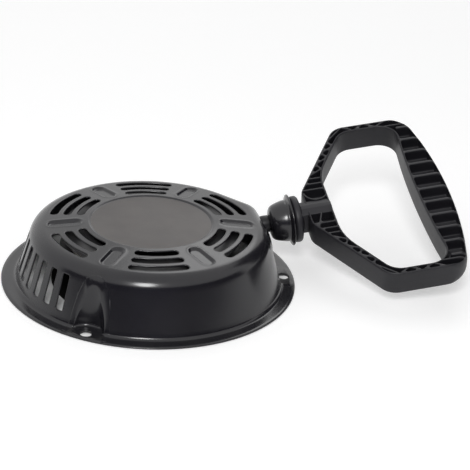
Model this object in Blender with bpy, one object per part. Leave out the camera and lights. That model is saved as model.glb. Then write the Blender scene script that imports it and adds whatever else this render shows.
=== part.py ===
"""Recoil starter of a small engine: stamped housing, rope reel with pawls, stopper bell and D-handle.

Metres, +Z up. The origin is on the crank axis in the mounting plane of the flange, and +X points to
the bolt hole beside the rope outlet. The handle is seated on the outlet, with the rope wound in.
"""

from math import acos, atan2, ceil, cos, hypot, pi, radians, sin, tan

import bmesh
import bpy
from mathutils import Matrix, Vector

MM = 0.001
CLEARANCE = 0.3 * MM

# Housing: a bowl stamped from sheet
SHEET = 1.2 * MM
FLANGE_RADIUS = 95.0 * MM
RADIAL = FLANGE_RADIUS / 95.0  # one millimetre of the bowl's plan, which the reel and the plate follow
WALL_FOOT_RADIUS = 86.0 * RADIAL
WALL_DRAFT = radians(16.5)
HOUSING_HEIGHT = 41.2 * MM
TOP_FALL = radians(5.5)
FOOT_FILLET = 3.0 * MM
SHOULDER_FILLET = 11.0 * MM
HUB_DISC_RADIUS = 39.1 * RADIAL
HUB_DISC_DEPTH = 0.8 * MM

# Bolt holes in the flange, each under a pocket pressed into the wall
BOLT_COUNT = 3
BOLT_CIRCLE_RADIUS = 88.5 * RADIAL
BOLT_HOLE_RADIUS = 3.5 * MM
POCKET_RADIUS = 11.0 * MM
POCKET_BEND = 2.0 * MM
PAD_RISE = 0.2 * MM

# Vents in the top: groups of concentric slots, with a pressed dimple between each two groups
SLOT_GROUPS = 6
SLOTS_IN_GROUP = 3
FIRST_SLOT_RADIUS = 46.0 * RADIAL
SLOT_PITCH = 8.7 * RADIAL
SLOT_WIDTH = 5.2 * MM
SLOT_SWEEP = radians(34.0)
DIMPLE_INNER_RADIUS = 44.5 * RADIAL
DIMPLE_OUTER_RADIUS = 66.0 * RADIAL
DIMPLE_WIDTH = 8.4 * MM
DIMPLE_DEPTH = 1.3 * MM

# Vents in the wall, opposite the rope outlet
WALL_SLOTS = 12
WALL_SLOT_PITCH = radians(8.0)
WALL_SLOT_WIDTH = 5.2 * MM
WALL_SLOT_LOW = 8.0 * MM
WALL_SLOT_HIGH = HOUSING_HEIGHT - 11.2 * MM

# Rope outlet: the wall swells to two flats that meet in a rounded corner
OUTLET_FACE_AZIMUTH = radians(7.0)
OUTLET_FLANK_AZIMUTH = radians(45.0)
OUTLET_DROP = 13.0 * MM
OUTLET_HEIGHT = HOUSING_HEIGHT - OUTLET_DROP
OUTLET_OFFSET = 13.0 * RADIAL
SWELL_RISE = 9.0 * MM
SWELL_INNER_RADIUS = 66.6 * RADIAL
GUIDE_BARREL_RADIUS = 5.6 * MM
GUIDE_FLANGE_RADIUS = 7.0 * MM
GUIDE_FLANGE_THICKNESS = 1.0 * MM
GUIDE_SNOUT = 2.2 * MM
GUIDE_THROAT_RADIUS = 3.2 * MM
GUIDE_MOUTH_RADIUS = 5.3 * MM

# Rope
ROPE_RADIUS = 2.0 * MM
ROPE_GAP = 0.3 * MM
ROPE_WOUND = radians(1260.0)
ROPE_ON_FIRST_LAYER = radians(600.0)
KNOT_COIL_RADIUS = 2.6 * MM
KNOT_TURNS = 1.6

# Reel
REEL_RADIUS = 58.0 * RADIAL
REEL_FLANGE = 1.8 * MM
GROOVE_RADIUS = 43.0 * RADIAL
SPRING_CAVITY_RADIUS = 39.5 * RADIAL
CAVITY_WALL_RISE = 0.4 * MM
REEL_FLOOR = 2.4 * MM
PLINTH_RADIUS = 34.0 * RADIAL
PLINTH_HEIGHT = 3.1 * MM
REEL_HUB_RADIUS = 11.0 * MM
REEL_RIBS = 8
REEL_RIB_WIDTH = 1.8 * MM
REEL_RIB_HEIGHT = 2.6 * MM

# Centre post, and the stack below the reel
POST_BASE_RADIUS = 14.0 * MM
POST_BASE_THICKNESS = 2.0 * MM
POST_HEAD_RADIUS = 9.0 * MM
POST_RADIUS = 7.0 * MM
STACK_DEPTH = 12.55 * MM
SCREW_HEAD_RADIUS = 5.6 * MM
SCREW_HEAD_HEIGHT = 4.2 * MM
SCREW_FLANGE_RADIUS = 11.0 * MM
SCREW_FLANGE_THICKNESS = 1.7 * MM
SCREW_SHANK_RADIUS = 3.0 * MM
SCREW_LENGTH = 12.0 * MM
WAVE_THICKNESS = 0.5 * MM
WAVE_HEIGHT = 0.75 * MM
WAVES = 3
PLATE_THICKNESS = 2.0 * MM
PLATE_RADIUS = 30.0 * RADIAL
THRUST_WASHER_THICKNESS = 1.0 * MM
THRUST_WASHER_RADIUS = 10.5 * MM

# Pawls, on pins in the reel, and the cam slots of the guide plate that move them
PAWLS = 2
PAWL_PIVOT_RADIUS = 22.0 * RADIAL
PAWL_THICKNESS = 3.2 * MM
PAWL_EYE_RADIUS = 5.0 * MM
PAWL_NOSE_RADIUS = 2.4 * MM
PAWL_LENGTH = 17.5 * RADIAL
PAWL_REST_ANGLE = radians(-92.0)
PAWL_SWING = radians(25.0)
PLATE_TURN = radians(35.0)
CAM_PIN_DISTANCE = 7.0 * MM
CAM_PIN_RADIUS = 1.5 * MM
PAWL_PIN_RADIUS = 2.3 * MM
PAWL_PIN_GRIP = 4.0 * MM
PAWL_WIRE_RADIUS = 0.4 * MM
PAWL_COIL_TURNS = 2
PAWL_COIL_SPACE = 3.0 * MM

# Recoil spring
STRIP_THICKNESS = 0.7 * MM
STRIP_WIDTH = 9.6 * MM
SPRING_TURNS = 6.5
SPRING_EYE_RADIUS = 13.0 * MM
HOOK_SLOT_WIDTH = 2.2 * MM

# Pull axis, seen from the outlet, and the turn of the handle about it
PULL_AZIMUTH = radians(4.5)
PULL_ELEVATION = radians(8.2)
HANDLE_ROLL = radians(16.7)

# Stopper bell, along the pull axis from the outlet
BELL_START = 3.5 * MM
BELL_LENGTH = 15.1 * MM
BELL_FACE_RADIUS = 6.4 * MM
BELL_SHOULDER_RADIUS = 12.0 * MM
BELL_RIM_RADIUS = 14.2 * MM
BELL_LIP_RADIUS = 17.1 * MM
BELL_LIP_THICKNESS = 1.4 * MM

# Handle, in its own plane: X along the pull axis from the bell's lip, Y across
HANDLE_THICKNESS = 17.6 * MM
HANDLE_WIDTH = 148.6 * MM
HANDLE_CORNER_X = 47.7 * MM
HANDLE_GRIP_X = 108.9 * MM
GRIP_BOW_RADIUS = 300.0 * MM
GRIP_WIDTH = 22.6 * MM
GRIP_INNER_BOW_RADIUS = 600.0 * MM
ARM_WIDTH = 6.5 * MM
SHORT_SIDE_WIDTH = 5.7 * MM
BOSS_END_X = 28.0 * MM
NECK_X = 11.0 * MM
NECK_HALF_WIDTH = 15.57 * MM
NECK_FILLET = 5.0 * MM
CORNER_FILLET = 13.0 * MM
GRIP_CORNER_FILLET = 9.0 * MM
RIM_WIDTH = 1.8 * MM
WEB_THICKNESS = 2.2 * MM
RIB_WIDTH = 1.5 * MM
GRIP_ROUNDING = 6.5 * MM
GRIP_FLATNESS = 0.8
EDGE_CHAMFER = 0.8 * MM
GRIP_RIBS = 11
GRIP_RIB_PITCH = (HANDLE_WIDTH - 19.6 * MM) / (GRIP_RIBS - 1)
BOSS_RADIUS = 6.4 * MM
BASE_RADIUS = 15.4 * MM
BASE_THICKNESS = 5.2 * MM
NECK_RADIUS = 9.6 * MM
BORE_RADIUS = 2.5 * MM
KNOT_BORE_RADIUS = 4.9 * MM
KNOT_BORE_DEPTH = 11.5 * MM
KNOT_WASHER_THICKNESS = 1.0 * MM
ARM_SLOPE = atan2(HANDLE_WIDTH / 2 - NECK_HALF_WIDTH, HANDLE_CORNER_X - NECK_X)

# Facets
SEGMENTS_LARGE = 48
SEGMENTS_REEL = 48
SEGMENTS_SMALL = 20
SHARP = radians(32.0)
ARC_STEP = radians(18.0)

# Heights that follow from the stack
HUB_UNDERSIDE = HOUSING_HEIGHT - HUB_DISC_DEPTH - SHEET
GROOVE_HEIGHT = 4.0 * ROPE_RADIUS + 3.0 * ROPE_GAP + 2.0 * CLEARANCE
GROOVE_LOW = OUTLET_HEIGHT + 0.2 * MM - GROOVE_HEIGHT / 2
GROOVE_HIGH = GROOVE_LOW + GROOVE_HEIGHT
REEL_TOP = GROOVE_HIGH + REEL_FLANGE
FLANGE_UNDERSIDE = GROOVE_LOW - REEL_FLANGE
CAVITY_FLOOR = FLANGE_UNDERSIDE + REEL_FLOOR
PLINTH_FACE = FLANGE_UNDERSIDE - PLINTH_HEIGHT
POST_FOOT = PLINTH_FACE - STACK_DEPTH
PLATE_LOW = POST_FOOT + SCREW_FLANGE_THICKNESS + 0.9 * MM
PLATE_HIGH = PLATE_LOW + PLATE_THICKNESS
WASHER_LOW = PLATE_HIGH + CLEARANCE
HUB_FOOT = WASHER_LOW + THRUST_WASHER_THICKNESS + CLEARANCE
PAWL_LOW = PLATE_HIGH + 0.8 * MM
PAWL_HIGH = PAWL_LOW + PAWL_THICKNESS


def rotation_z(angle):
    return Matrix.Rotation(angle, 4, "Z")


def polar(radius, angle, height=0.0):
    return Vector((radius * cos(angle), radius * sin(angle), height))


def smooth_step(value):
    value = min(max(value, 0.0), 1.0)
    return value * value * (3.0 - 2.0 * value)


# Outlines


def arc(centre, radius, start, end, step=ARC_STEP):
    """Points from start to end angle, both included."""
    steps = max(1, ceil(abs(end - start) / step - 1e-6))
    angles = [start + (end - start) * i / steps for i in range(steps + 1)]
    return [(centre[0] + radius * cos(a), centre[1] + radius * sin(a)) for a in angles]


def rounded(corners, closed=True, step=ARC_STEP):
    """The polyline through corners (x, y, fillet radius), with each fillet as an arc."""
    points = []
    count = len(corners)
    for i, (x, y, radius) in enumerate(corners):
        if radius <= 0 or (not closed and i in (0, count - 1)):
            points.append((x, y))
            continue
        here = Vector((x, y))
        back = (Vector(corners[i - 1][:2]) - here).normalized()
        ahead = (Vector(corners[(i + 1) % count][:2]) - here).normalized()
        half = acos(max(-1.0, min(1.0, back.dot(ahead)))) / 2
        centre = here + (back + ahead).normalized() * (radius / sin(half))
        first = here + back * (radius / tan(half)) - centre
        last = here + ahead * (radius / tan(half)) - centre
        start = atan2(first.y, first.x)
        turn = (atan2(last.y, last.x) - start + pi) % (2 * pi) - pi
        points += arc(centre, radius, start, start + turn, step)
    return points


def shifted(points, distance, closed=True):
    """The outline moved to its right by distance, so a counter-clockwise loop grows."""
    count = len(points)
    result = []
    for i, point in enumerate(points):
        before = points[i - 1] if closed or i else None
        after = points[(i + 1) % count] if closed or i < count - 1 else None
        sides = []
        for a, b in ((before, point), (point, after)):
            if a is not None and b is not None:
                length = hypot(b[0] - a[0], b[1] - a[1])
                sides.append(((b[1] - a[1]) / length, (a[0] - b[0]) / length))
        if len(sides) == 1:
            sides *= 2
        (ax, ay), (bx, by) = sides
        scale = distance / (1.0 + ax * bx + ay * by)
        result.append((point[0] + (ax + bx) * scale, point[1] + (ay + by) * scale))
    return result


def ribbon(path, width):
    """The closed outline of a strip of this width along an open path."""
    return shifted(path, width / 2, closed=False) + shifted(path, -width / 2, closed=False)[::-1]


def circle(radius, segments=SEGMENTS_SMALL, centre=(0.0, 0.0)):
    return arc(centre, radius, 0.0, 2 * pi, 2 * pi / segments)[:-1]


def capsule(start, end, radius):
    """A slot's outline with round ends, from one centre to the other along X."""
    step = pi / 5
    return arc((end, 0.0), radius, -pi / 2, pi / 2, step) + arc((start, 0.0), radius, pi / 2, 3 * pi / 2, step)


# Solids, each as (points, faces)


def loft(loops):
    """Joins loops of equally many points, and caps the first and the last."""
    count = len(loops[0])
    points = [Vector(p) for loop in loops for p in loop]
    faces = [list(range(count))[::-1], [len(points) - count + i for i in range(count)]]
    for level in range(len(loops) - 1):
        base = level * count
        for i in range(count):
            j = (i + 1) % count
            faces.append([base + i, base + j, base + count + j, base + count + i])
    return points, faces


def prism(outline, low, high):
    return loft([[(x, y, z) for x, y in outline] for z in (low, high)])


def lathe(profile, segments=SEGMENTS_SMALL, swell=None):
    """Turns a profile of (radius, height) about Z. One that doesn't end on the axis closes to a ring."""
    points, rings = [], []
    for radius, height in profile:
        if radius < 1e-9:
            rings.append([len(points)] * segments)
            points.append(Vector((0.0, 0.0, height)))
            continue
        rings.append(list(range(len(points), len(points) + segments)))
        for i in range(segments):
            azimuth = 2 * pi * i / segments
            factor = swell(azimuth, radius, height) if swell else 1.0
            points.append(polar(radius * factor, azimuth, height))
    on_axis = profile[0][0] < 1e-9 and profile[-1][0] < 1e-9
    faces = []
    for k in range(len(rings) - 1 if on_axis else len(rings)):
        low, high = rings[k], rings[(k + 1) % len(rings)]
        for i in range(segments):
            j = (i + 1) % segments
            corners = list(dict.fromkeys((low[i], low[j], high[j], high[i])))
            if len(corners) > 2:
                faces.append(corners)
    return points, faces


def placed(shape, matrix):
    points, faces = shape
    return [matrix @ p for p in points], faces


def joined(shapes):
    """Several solids in one mesh, for a cutter."""
    points, faces = [], []
    for more_points, more_faces in shapes:
        faces += [[i + len(points) for i in face] for face in more_faces]
        points += more_points
    return points, faces


# Objects


def paint(name, colour, roughness, metallic=0.0):
    made = bpy.data.materials.new(name)
    made.use_nodes = True
    shader = made.node_tree.nodes["Principled BSDF"]
    shader.inputs["Base Color"].default_value = (*colour, 1.0)
    shader.inputs["Roughness"].default_value = roughness
    shader.inputs["Metallic"].default_value = metallic
    return made


def piece(name, shape, material, parent=None):
    points, faces = shape
    mesh = bpy.data.meshes.new(name)
    mesh.from_pydata(points, [], faces)
    work = bmesh.new()
    work.from_mesh(mesh)
    bmesh.ops.recalc_face_normals(work, faces=work.faces)
    work.to_mesh(mesh)
    work.free()
    mesh.shade_smooth()
    mesh.set_sharp_from_angle(angle=SHARP)
    made = bpy.data.objects.new(name, mesh)
    bpy.context.collection.objects.link(made)
    made.parent = parent
    if material:
        made.data.materials.append(material)
    return made


def tube(name, points, radius, material, sides, parent=None):
    """A round wire or rope along points, as a curve with filled ends."""
    curve = bpy.data.curves.new(name, "CURVE")
    curve.dimensions = "3D"
    curve.bevel_depth = radius
    curve.bevel_resolution = sides
    curve.use_fill_caps = True
    spline = curve.splines.new("POLY")
    spline.points.add(len(points) - 1)
    for target, point in zip(spline.points, points):
        target.co = (*point, 1.0)
    made = bpy.data.objects.new(name, curve)
    bpy.context.collection.objects.link(made)
    made.parent = parent
    curve.materials.append(material)
    return made


def pivot(name, matrix):
    made = bpy.data.objects.new(name, None)
    bpy.context.collection.objects.link(made)
    made.matrix_world = matrix
    return made


def combine(target, name, shape, operation="DIFFERENCE", overlapping=False):
    """Cuts a shape from the target, or unites it with it, by a Boolean with a hidden helper."""
    helper = piece(name, shape, None, target.parent)
    helper.hide_render = True
    helper.display_type = "WIRE"
    modifier = target.modifiers.new(name, "BOOLEAN")
    modifier.operation = operation
    modifier.use_self = overlapping
    modifier.object = helper
    return helper


# Housing


def wall_radius(height):
    return WALL_FOOT_RADIUS - (height - SHEET) * tan(WALL_DRAFT)


def top_height(radius):
    return HOUSING_HEIGHT - (radius - HUB_DISC_RADIUS) * tan(TOP_FALL)


def housing_corners():
    """Corners of the outer skin from the flange's edge to the axis, each with its fillet."""
    fall = tan(TOP_FALL)
    shoulder = (WALL_FOOT_RADIUS * 1.0 - (top_height(0.0) - SHEET) * tan(WALL_DRAFT)) / (
        1.0 - fall * tan(WALL_DRAFT)
    )
    step = HUB_DISC_DEPTH
    return [
        (FLANGE_RADIUS, SHEET, 0.0),
        (WALL_FOOT_RADIUS, SHEET, FOOT_FILLET),
        (shoulder, top_height(shoulder), SHOULDER_FILLET),
        (HUB_DISC_RADIUS + step, top_height(HUB_DISC_RADIUS + step), 0.0),
        (HUB_DISC_RADIUS, HOUSING_HEIGHT - step, 0.0),
        (0.0, HOUSING_HEIGHT - step, 0.0),
    ]


def outlet_swell(azimuth, radius, height):
    """How far the wall stands out at the rope outlet, as a factor on its radius."""
    if radius < SWELL_INNER_RADIUS or not OUTLET_FACE_AZIMUTH < azimuth < OUTLET_FLANK_AZIMUTH:
        return 1.0
    to_flat = min(azimuth - OUTLET_FACE_AZIMUTH, OUTLET_FLANK_AZIMUTH - azimuth)
    fade = smooth_step((height - SHEET) / SWELL_RISE)
    return 1.0 + fade * (1.0 / cos(to_flat) - 1.0)


def pocket(bolt, extra):
    """The space over a bolt hole, with a bend round its foot; extra is the sheet outside of it."""
    centre = (POCKET_RADIUS - POCKET_BEND, SHEET + PAD_RISE + POCKET_BEND)
    bend = arc(centre, POCKET_BEND + extra, -pi / 2, 0.0, pi / 4)
    foot = [(0.0, bend[0][1])]
    if extra:
        foot = [(0.0, -2 * SHEET), (bend[0][0], -2 * SHEET)]
    top = [(bend[-1][0], HOUSING_HEIGHT), (0.0, HOUSING_HEIGHT)]
    return placed(lathe(foot + bend + top), Matrix.Translation(polar(BOLT_CIRCLE_RADIUS, bolt)))


def dimple(azimuth, extra, drop):
    """A radial recess in the top; its floor is smaller than its mouth by its depth."""
    middle = (DIMPLE_INNER_RADIUS + DIMPLE_OUTER_RADIUS) / 2
    half = (DIMPLE_OUTER_RADIUS - DIMPLE_INNER_RADIUS - DIMPLE_WIDTH) / 2
    radius = DIMPLE_WIDTH / 2 + extra
    levels = ((-DIMPLE_DEPTH - drop, radius - DIMPLE_DEPTH), (DIMPLE_DEPTH - drop, radius + DIMPLE_DEPTH))
    loops = [[(x, y, z) for x, y in capsule(-half, half, r)] for z, r in levels]
    seat = Matrix.Translation((middle, 0.0, top_height(middle))) @ Matrix.Rotation(TOP_FALL, 4, "Y")
    return placed(loft(loops), rotation_z(azimuth) @ seat)


def outlet_frame():
    """The rope outlet on the wall: X out of the flat, at the height and offset of the rope."""
    point = polar(wall_radius(OUTLET_HEIGHT), 0.0, OUTLET_HEIGHT) + Vector((0.0, OUTLET_OFFSET, 0.0))
    return rotation_z(OUTLET_FACE_AZIMUTH) @ Matrix.Translation(point) @ Matrix.Rotation(-WALL_DRAFT, 4, "Y")


def along_x(shape):
    """Turns a lathe's axis from Z to X."""
    return placed(shape, Matrix.Rotation(pi / 2, 4, "Y"))


def build_housing(material):
    bolts = [2 * pi * i / BOLT_COUNT for i in range(BOLT_COUNT)]
    dimples = [2 * pi * i / SLOT_GROUPS for i in range(SLOT_GROUPS)]
    corners = housing_corners()
    skin = rounded(corners, closed=False, step=radians(20.0))
    housing = piece(
        "housing",
        lathe([(0.0, 0.0), (FLANGE_RADIUS, 0.0)] + skin, SEGMENTS_LARGE, outlet_swell),
        material,
    )

    sunk = shifted([(r, z) for r, z, _ in corners], -SHEET, closed=False)
    fillets = [0.0, FOOT_FILLET + SHEET, SHOULDER_FILLET - SHEET, 0.0, 0.0, 0.0]
    inner = [(r, z, fillet) for (r, z), fillet in zip(sunk, fillets)]
    inner[-1] = (0.0, inner[-1][1], 0.0)
    ceiling = rounded(inner, closed=False, step=radians(24.0))[1:]
    (first_r, first_z), (next_r, next_z) = ceiling[:2]
    flare = (2 * first_r - next_r, 2 * first_z - next_z)
    mouth = [(0.0, flare[1]), flare]
    bowl = combine(housing, "bowl_cutter", lathe(mouth + ceiling[1:], SEGMENTS_LARGE, outlet_swell))
    combine(bowl, "pocket_keeper", joined([pocket(b, SHEET) for b in bolts]))
    combine(bowl, "dimple_keeper", joined([dimple(d, SHEET, SHEET) for d in dimples]))

    combine(housing, "pocket_cutter", joined([pocket(b, 0.0) for b in bolts]))
    combine(housing, "dimple_cutter", joined([dimple(d, 0.0, 0.0) for d in dimples]))
    combine(housing, "vent_cutter", joined(top_slots() + wall_slots()))
    holes = [
        placed(prism(circle(BOLT_HOLE_RADIUS), -SHEET, 3 * SHEET), Matrix.Translation(polar(BOLT_CIRCLE_RADIUS, b)))
        for b in bolts
    ]
    outlet = along_x(prism(circle(GUIDE_BARREL_RADIUS + CLEARANCE), -4 * SHEET, 4 * SHEET))
    combine(housing, "hole_cutter", joined(holes + [placed(outlet, outlet_frame())]))
    return housing


def top_slots():
    cutters = []
    for group in range(SLOT_GROUPS):
        middle = 2 * pi * (group + 0.5) / SLOT_GROUPS
        for row in range(SLOTS_IN_GROUP):
            radius = FIRST_SLOT_RADIUS + row * SLOT_PITCH
            half = SLOT_SWEEP / 2 - SLOT_WIDTH / 2 / radius
            path = arc((0.0, 0.0), radius, middle - half, middle + half, radians(7.5))
            outer, inner = SLOT_WIDTH / 2, -SLOT_WIDTH / 2
            ends = [
                arc(path[-1], SLOT_WIDTH / 2, middle + half, middle + half + pi, pi / 4)[1:-1],
                arc(path[0], SLOT_WIDTH / 2, middle - half + pi, middle - half + 2 * pi, pi / 4)[1:-1],
            ]
            sides = [shifted(path, offset, closed=False) for offset in (outer, inner)]
            outline = sides[0] + ends[0] + sides[1][::-1] + ends[1]
            cutters.append(prism(outline, top_height(radius) - 4 * SHEET, HOUSING_HEIGHT + SHEET))
    return cutters


def wall_slots():
    cutters = []
    half = WALL_SLOT_WIDTH / 2
    outline = capsule(WALL_SLOT_LOW + half, WALL_SLOT_HIGH - half, half)
    inner = wall_radius(WALL_SLOT_HIGH) - 5 * SHEET
    for i in range(WALL_SLOTS):
        azimuth = pi + WALL_SLOT_PITCH * (i - (WALL_SLOTS - 1) / 2)
        upright = placed(prism(outline, -FLANGE_RADIUS, -inner), Matrix.Rotation(-pi / 2, 4, "Y"))
        cutters.append(placed(upright, rotation_z(azimuth)))
    return cutters


def build_rope_guide(material):
    """A flanged bushing through the outlet, with a rounded throat."""
    inner_face = -SHEET - 2 * CLEARANCE
    bevel = GUIDE_FLANGE_RADIUS - GUIDE_BARREL_RADIUS
    back = inner_face - bevel - GUIDE_FLANGE_THICKNESS
    lip = 0.6 * MM
    profile = [
        (GUIDE_MOUTH_RADIUS, back),
        (GUIDE_FLANGE_RADIUS - lip, back),
        (GUIDE_FLANGE_RADIUS, back + lip),
        (GUIDE_FLANGE_RADIUS, inner_face - bevel),
        (GUIDE_BARREL_RADIUS, inner_face),
        (GUIDE_BARREL_RADIUS, GUIDE_SNOUT - lip),
        (GUIDE_BARREL_RADIUS - lip, GUIDE_SNOUT),
        (GUIDE_BARREL_RADIUS - 2 * lip, GUIDE_SNOUT),
        (GUIDE_THROAT_RADIUS + lip / 2, GUIDE_SNOUT - 1.5 * lip),
        (GUIDE_THROAT_RADIUS, 0.0),
        ((GUIDE_THROAT_RADIUS + GUIDE_MOUTH_RADIUS) / 2, back / 2),
    ]
    made = piece("rope_guide", along_x(lathe(profile, 20)), material)
    made.matrix_world = outlet_frame()
    return made


def build_centre_post(material):
    base_high = HUB_UNDERSIDE - CLEARANCE
    base_low = base_high - POST_BASE_THICKNESS
    shoulder = CAVITY_FLOOR + CLEARANCE
    hole = SCREW_SHANK_RADIUS + CLEARANCE
    profile = [
        (0.0, base_high),
        (POST_BASE_RADIUS, base_high),
        (POST_BASE_RADIUS, base_low),
        (POST_HEAD_RADIUS, base_low),
        (POST_HEAD_RADIUS, shoulder),
        (POST_RADIUS, shoulder),
        (POST_RADIUS, POST_FOOT),
        (hole, POST_FOOT),
        (hole, POST_FOOT + SCREW_LENGTH + CLEARANCE),
        (0.0, POST_FOOT + SCREW_LENGTH + CLEARANCE),
    ]
    post = piece("centre_post", lathe(profile, SEGMENTS_SMALL), material)
    slot = [(POST_HEAD_RADIUS / 2, -HOOK_SLOT_WIDTH / 2), (2 * POST_HEAD_RADIUS, -HOOK_SLOT_WIDTH / 2)]
    slot += [(x, -y) for x, y in reversed(slot)]
    combine(post, "post_slot_cutter", prism(slot, CAVITY_FLOOR + 2 * CLEARANCE, base_low - CLEARANCE))
    return post


# Reel


def pawl_frames():
    """Each pawl's pivot, with X outwards."""
    return [
        rotation_z(2 * pi * i / PAWLS) @ Matrix.Translation((PAWL_PIVOT_RADIUS, 0.0, 0.0)) for i in range(PAWLS)
    ]


def rope_anchor_azimuth():
    return departure()[0] + ROPE_WOUND


def build_reel(material):
    lip = 0.8 * MM
    profile = [
        (POST_RADIUS + CLEARANCE, HUB_FOOT),
        (REEL_HUB_RADIUS, HUB_FOOT),
        (REEL_HUB_RADIUS, PLINTH_FACE),
        (PLINTH_RADIUS, PLINTH_FACE),
        (PLINTH_RADIUS, FLANGE_UNDERSIDE),
        (REEL_RADIUS - lip, FLANGE_UNDERSIDE),
        (REEL_RADIUS, FLANGE_UNDERSIDE + lip),
        (REEL_RADIUS, GROOVE_LOW - lip / 2),
        (GROOVE_RADIUS + lip, GROOVE_LOW),
        (GROOVE_RADIUS, GROOVE_LOW),
        (GROOVE_RADIUS, GROOVE_HIGH),
        (REEL_RADIUS, GROOVE_HIGH + lip / 2),
        (REEL_RADIUS, REEL_TOP - lip),
        (REEL_RADIUS - lip, REEL_TOP),
        (GROOVE_RADIUS, REEL_TOP),
        (GROOVE_RADIUS, REEL_TOP + CAVITY_WALL_RISE),
        (SPRING_CAVITY_RADIUS, REEL_TOP + CAVITY_WALL_RISE),
        (SPRING_CAVITY_RADIUS, CAVITY_FLOOR),
        (POST_RADIUS + CLEARANCE, CAVITY_FLOOR),
    ]
    reel = piece("reel", lathe(profile, SEGMENTS_REEL), material)

    rib_inner, rib_outer = PLINTH_RADIUS - 1.0 * MM, REEL_RADIUS - 2.0 * MM
    half = REEL_RIB_WIDTH / 2
    side = [
        (rib_inner, FLANGE_UNDERSIDE + 0.6 * MM),
        (rib_outer, FLANGE_UNDERSIDE + 0.6 * MM),
        (rib_inner, FLANGE_UNDERSIDE - REEL_RIB_HEIGHT),
    ]
    rib = loft([[(x, y, z) for x, z in side] for y in (-half, half)])
    anchor = rope_anchor_azimuth()
    turns = [anchor + 2 * pi * (i + 0.5) / REEL_RIBS for i in range(REEL_RIBS)]
    combine(reel, "reel_ribs", joined([placed(rib, rotation_z(a)) for a in turns]), "UNION")

    post = prism(circle(1.3 * MM, 12), PAWL_HIGH + CLEARANCE, PLINTH_FACE + 1.0 * MM)
    posts = [placed(post, frame @ Matrix.Translation(spring_post())) for frame in pawl_frames()]
    combine(reel, "spring_posts", joined(posts), "UNION")

    pin_hole = prism(circle(PAWL_PIN_RADIUS + CLEARANCE, 16), PLINTH_FACE - 1.0 * MM, PLINTH_FACE + PAWL_PIN_GRIP)
    passage = capsule(0.0, 2.5 * ROPE_RADIUS, ROPE_RADIUS + CLEARANCE)
    rope_hole = placed(prism(passage, FLANGE_UNDERSIDE - 4.0 * MM, GROOVE_LOW + 1.0 * MM), rotation_z(-pi / 2))
    layer = GROOVE_RADIUS + CLEARANCE + ROPE_RADIUS
    hook = [(SPRING_CAVITY_RADIUS - 2.0 * MM, -half * 2), (GROOVE_RADIUS - 1.0 * MM, -half * 2)]
    hook += [(x, -y) for x, y in reversed(hook)]
    hook_slot = prism(hook, CAVITY_FLOOR + CLEARANCE, REEL_TOP + 1.0 * MM)
    cutters = [placed(pin_hole, frame) for frame in pawl_frames()]
    cutters.append(placed(rope_hole, rotation_z(anchor) @ Matrix.Translation((layer, 0.0, 0.0))))
    cutters.append(placed(hook_slot, rotation_z(spring_end_azimuth())))
    combine(reel, "reel_cutter", joined(cutters))
    return reel


def spring_end_azimuth():
    return 2 * pi * SPRING_TURNS


def build_recoil_spring(material):
    """A spiral strip: its inner end sits in the post's slot, its outer end in the reel's."""
    steps = ceil(SPRING_TURNS * 16)
    outer = SPRING_CAVITY_RADIUS - STRIP_THICKNESS - CLEARANCE
    path = [(POST_HEAD_RADIUS / 2 + 1.0 * MM, 0.0), (POST_HEAD_RADIUS + 1.0 * MM, 0.0)]
    for i in range(1, steps):
        share = i / steps
        turn = 2 * pi * SPRING_TURNS * share
        path.append(tuple(polar(SPRING_EYE_RADIUS + (outer - SPRING_EYE_RADIUS) * share, turn)[:2]))
    end = spring_end_azimuth()
    path.append(tuple(polar(SPRING_CAVITY_RADIUS - 0.4 * MM, end - radians(2.0))[:2]))
    path.append(tuple(polar(GROOVE_RADIUS - 1.5 * MM, end)[:2]))
    low = CAVITY_FLOOR + 2 * CLEARANCE + 0.2 * MM
    return piece("recoil_spring", prism(ribbon(path, STRIP_THICKNESS), low, low + STRIP_WIDTH), material)


# Rope


def departure():
    """Where the rope leaves its last turn for the outlet: azimuth, radius and the point itself."""
    layer_step = 2 * ROPE_RADIUS + ROPE_GAP
    radius = GROOVE_RADIUS + CLEARANCE + ROPE_RADIUS + layer_step
    outlet = outlet_frame().translation
    azimuth = atan2(outlet.y, outlet.x) + acos(radius / hypot(outlet.x, outlet.y))
    return azimuth, radius, polar(radius, azimuth, groove_row(0.0))


def groove_row(row):
    """Height of the lower (0) or upper (1) row of turns."""
    return GROOVE_LOW + CLEARANCE + ROPE_RADIUS + row * (2 * ROPE_RADIUS + ROPE_GAP)


def wound_point(turned):
    """The rope's centre after this much of the winding, from the anchor to the departure.

    It crosses to the upper row in its first turn, climbs to the outer layer in its second, and
    comes down to the lower row in its third, each where nothing else lies.
    """
    azimuth, outer_radius, _ = departure()
    inner_radius = GROOVE_RADIUS + CLEARANCE + ROPE_RADIUS
    crossing = radians(55.0)
    up = smooth_step((turned - radians(300.0)) / crossing)
    climb = smooth_step((turned - ROPE_ON_FIRST_LAYER) / crossing)
    down = smooth_step((turned - radians(918.0)) / crossing)
    radius = inner_radius + (outer_radius - inner_radius) * climb
    return polar(radius, azimuth + ROPE_WOUND - turned, groove_row(up - down))


def build_rope_turns(material):
    """From under the reel's lower flange, round a bend into the groove, to the departure."""
    bend = 1.75 * ROPE_RADIUS
    points = [wound_point(0.0)]
    points[0].z = FLANGE_UNDERSIDE
    inner_radius = hypot(points[0].x, points[0].y)
    for i in range(4):
        angle = pi / 2 * i / 3
        point = wound_point(bend * (1 - cos(angle)) / inner_radius)
        point.z -= bend * (1 - sin(angle))
        points.append(point)
    step = radians(18.0)
    stretch = 1.0 / cos(step / 2)
    for i in range(1, round(ROPE_WOUND / step)):
        point = wound_point(step * i)
        points.append(Vector((point.x * stretch, point.y * stretch, point.z)))
    points.append(wound_point(ROPE_WOUND - radians(2.0)))
    return tube("rope_turns", points, ROPE_RADIUS, material, 2)


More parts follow.
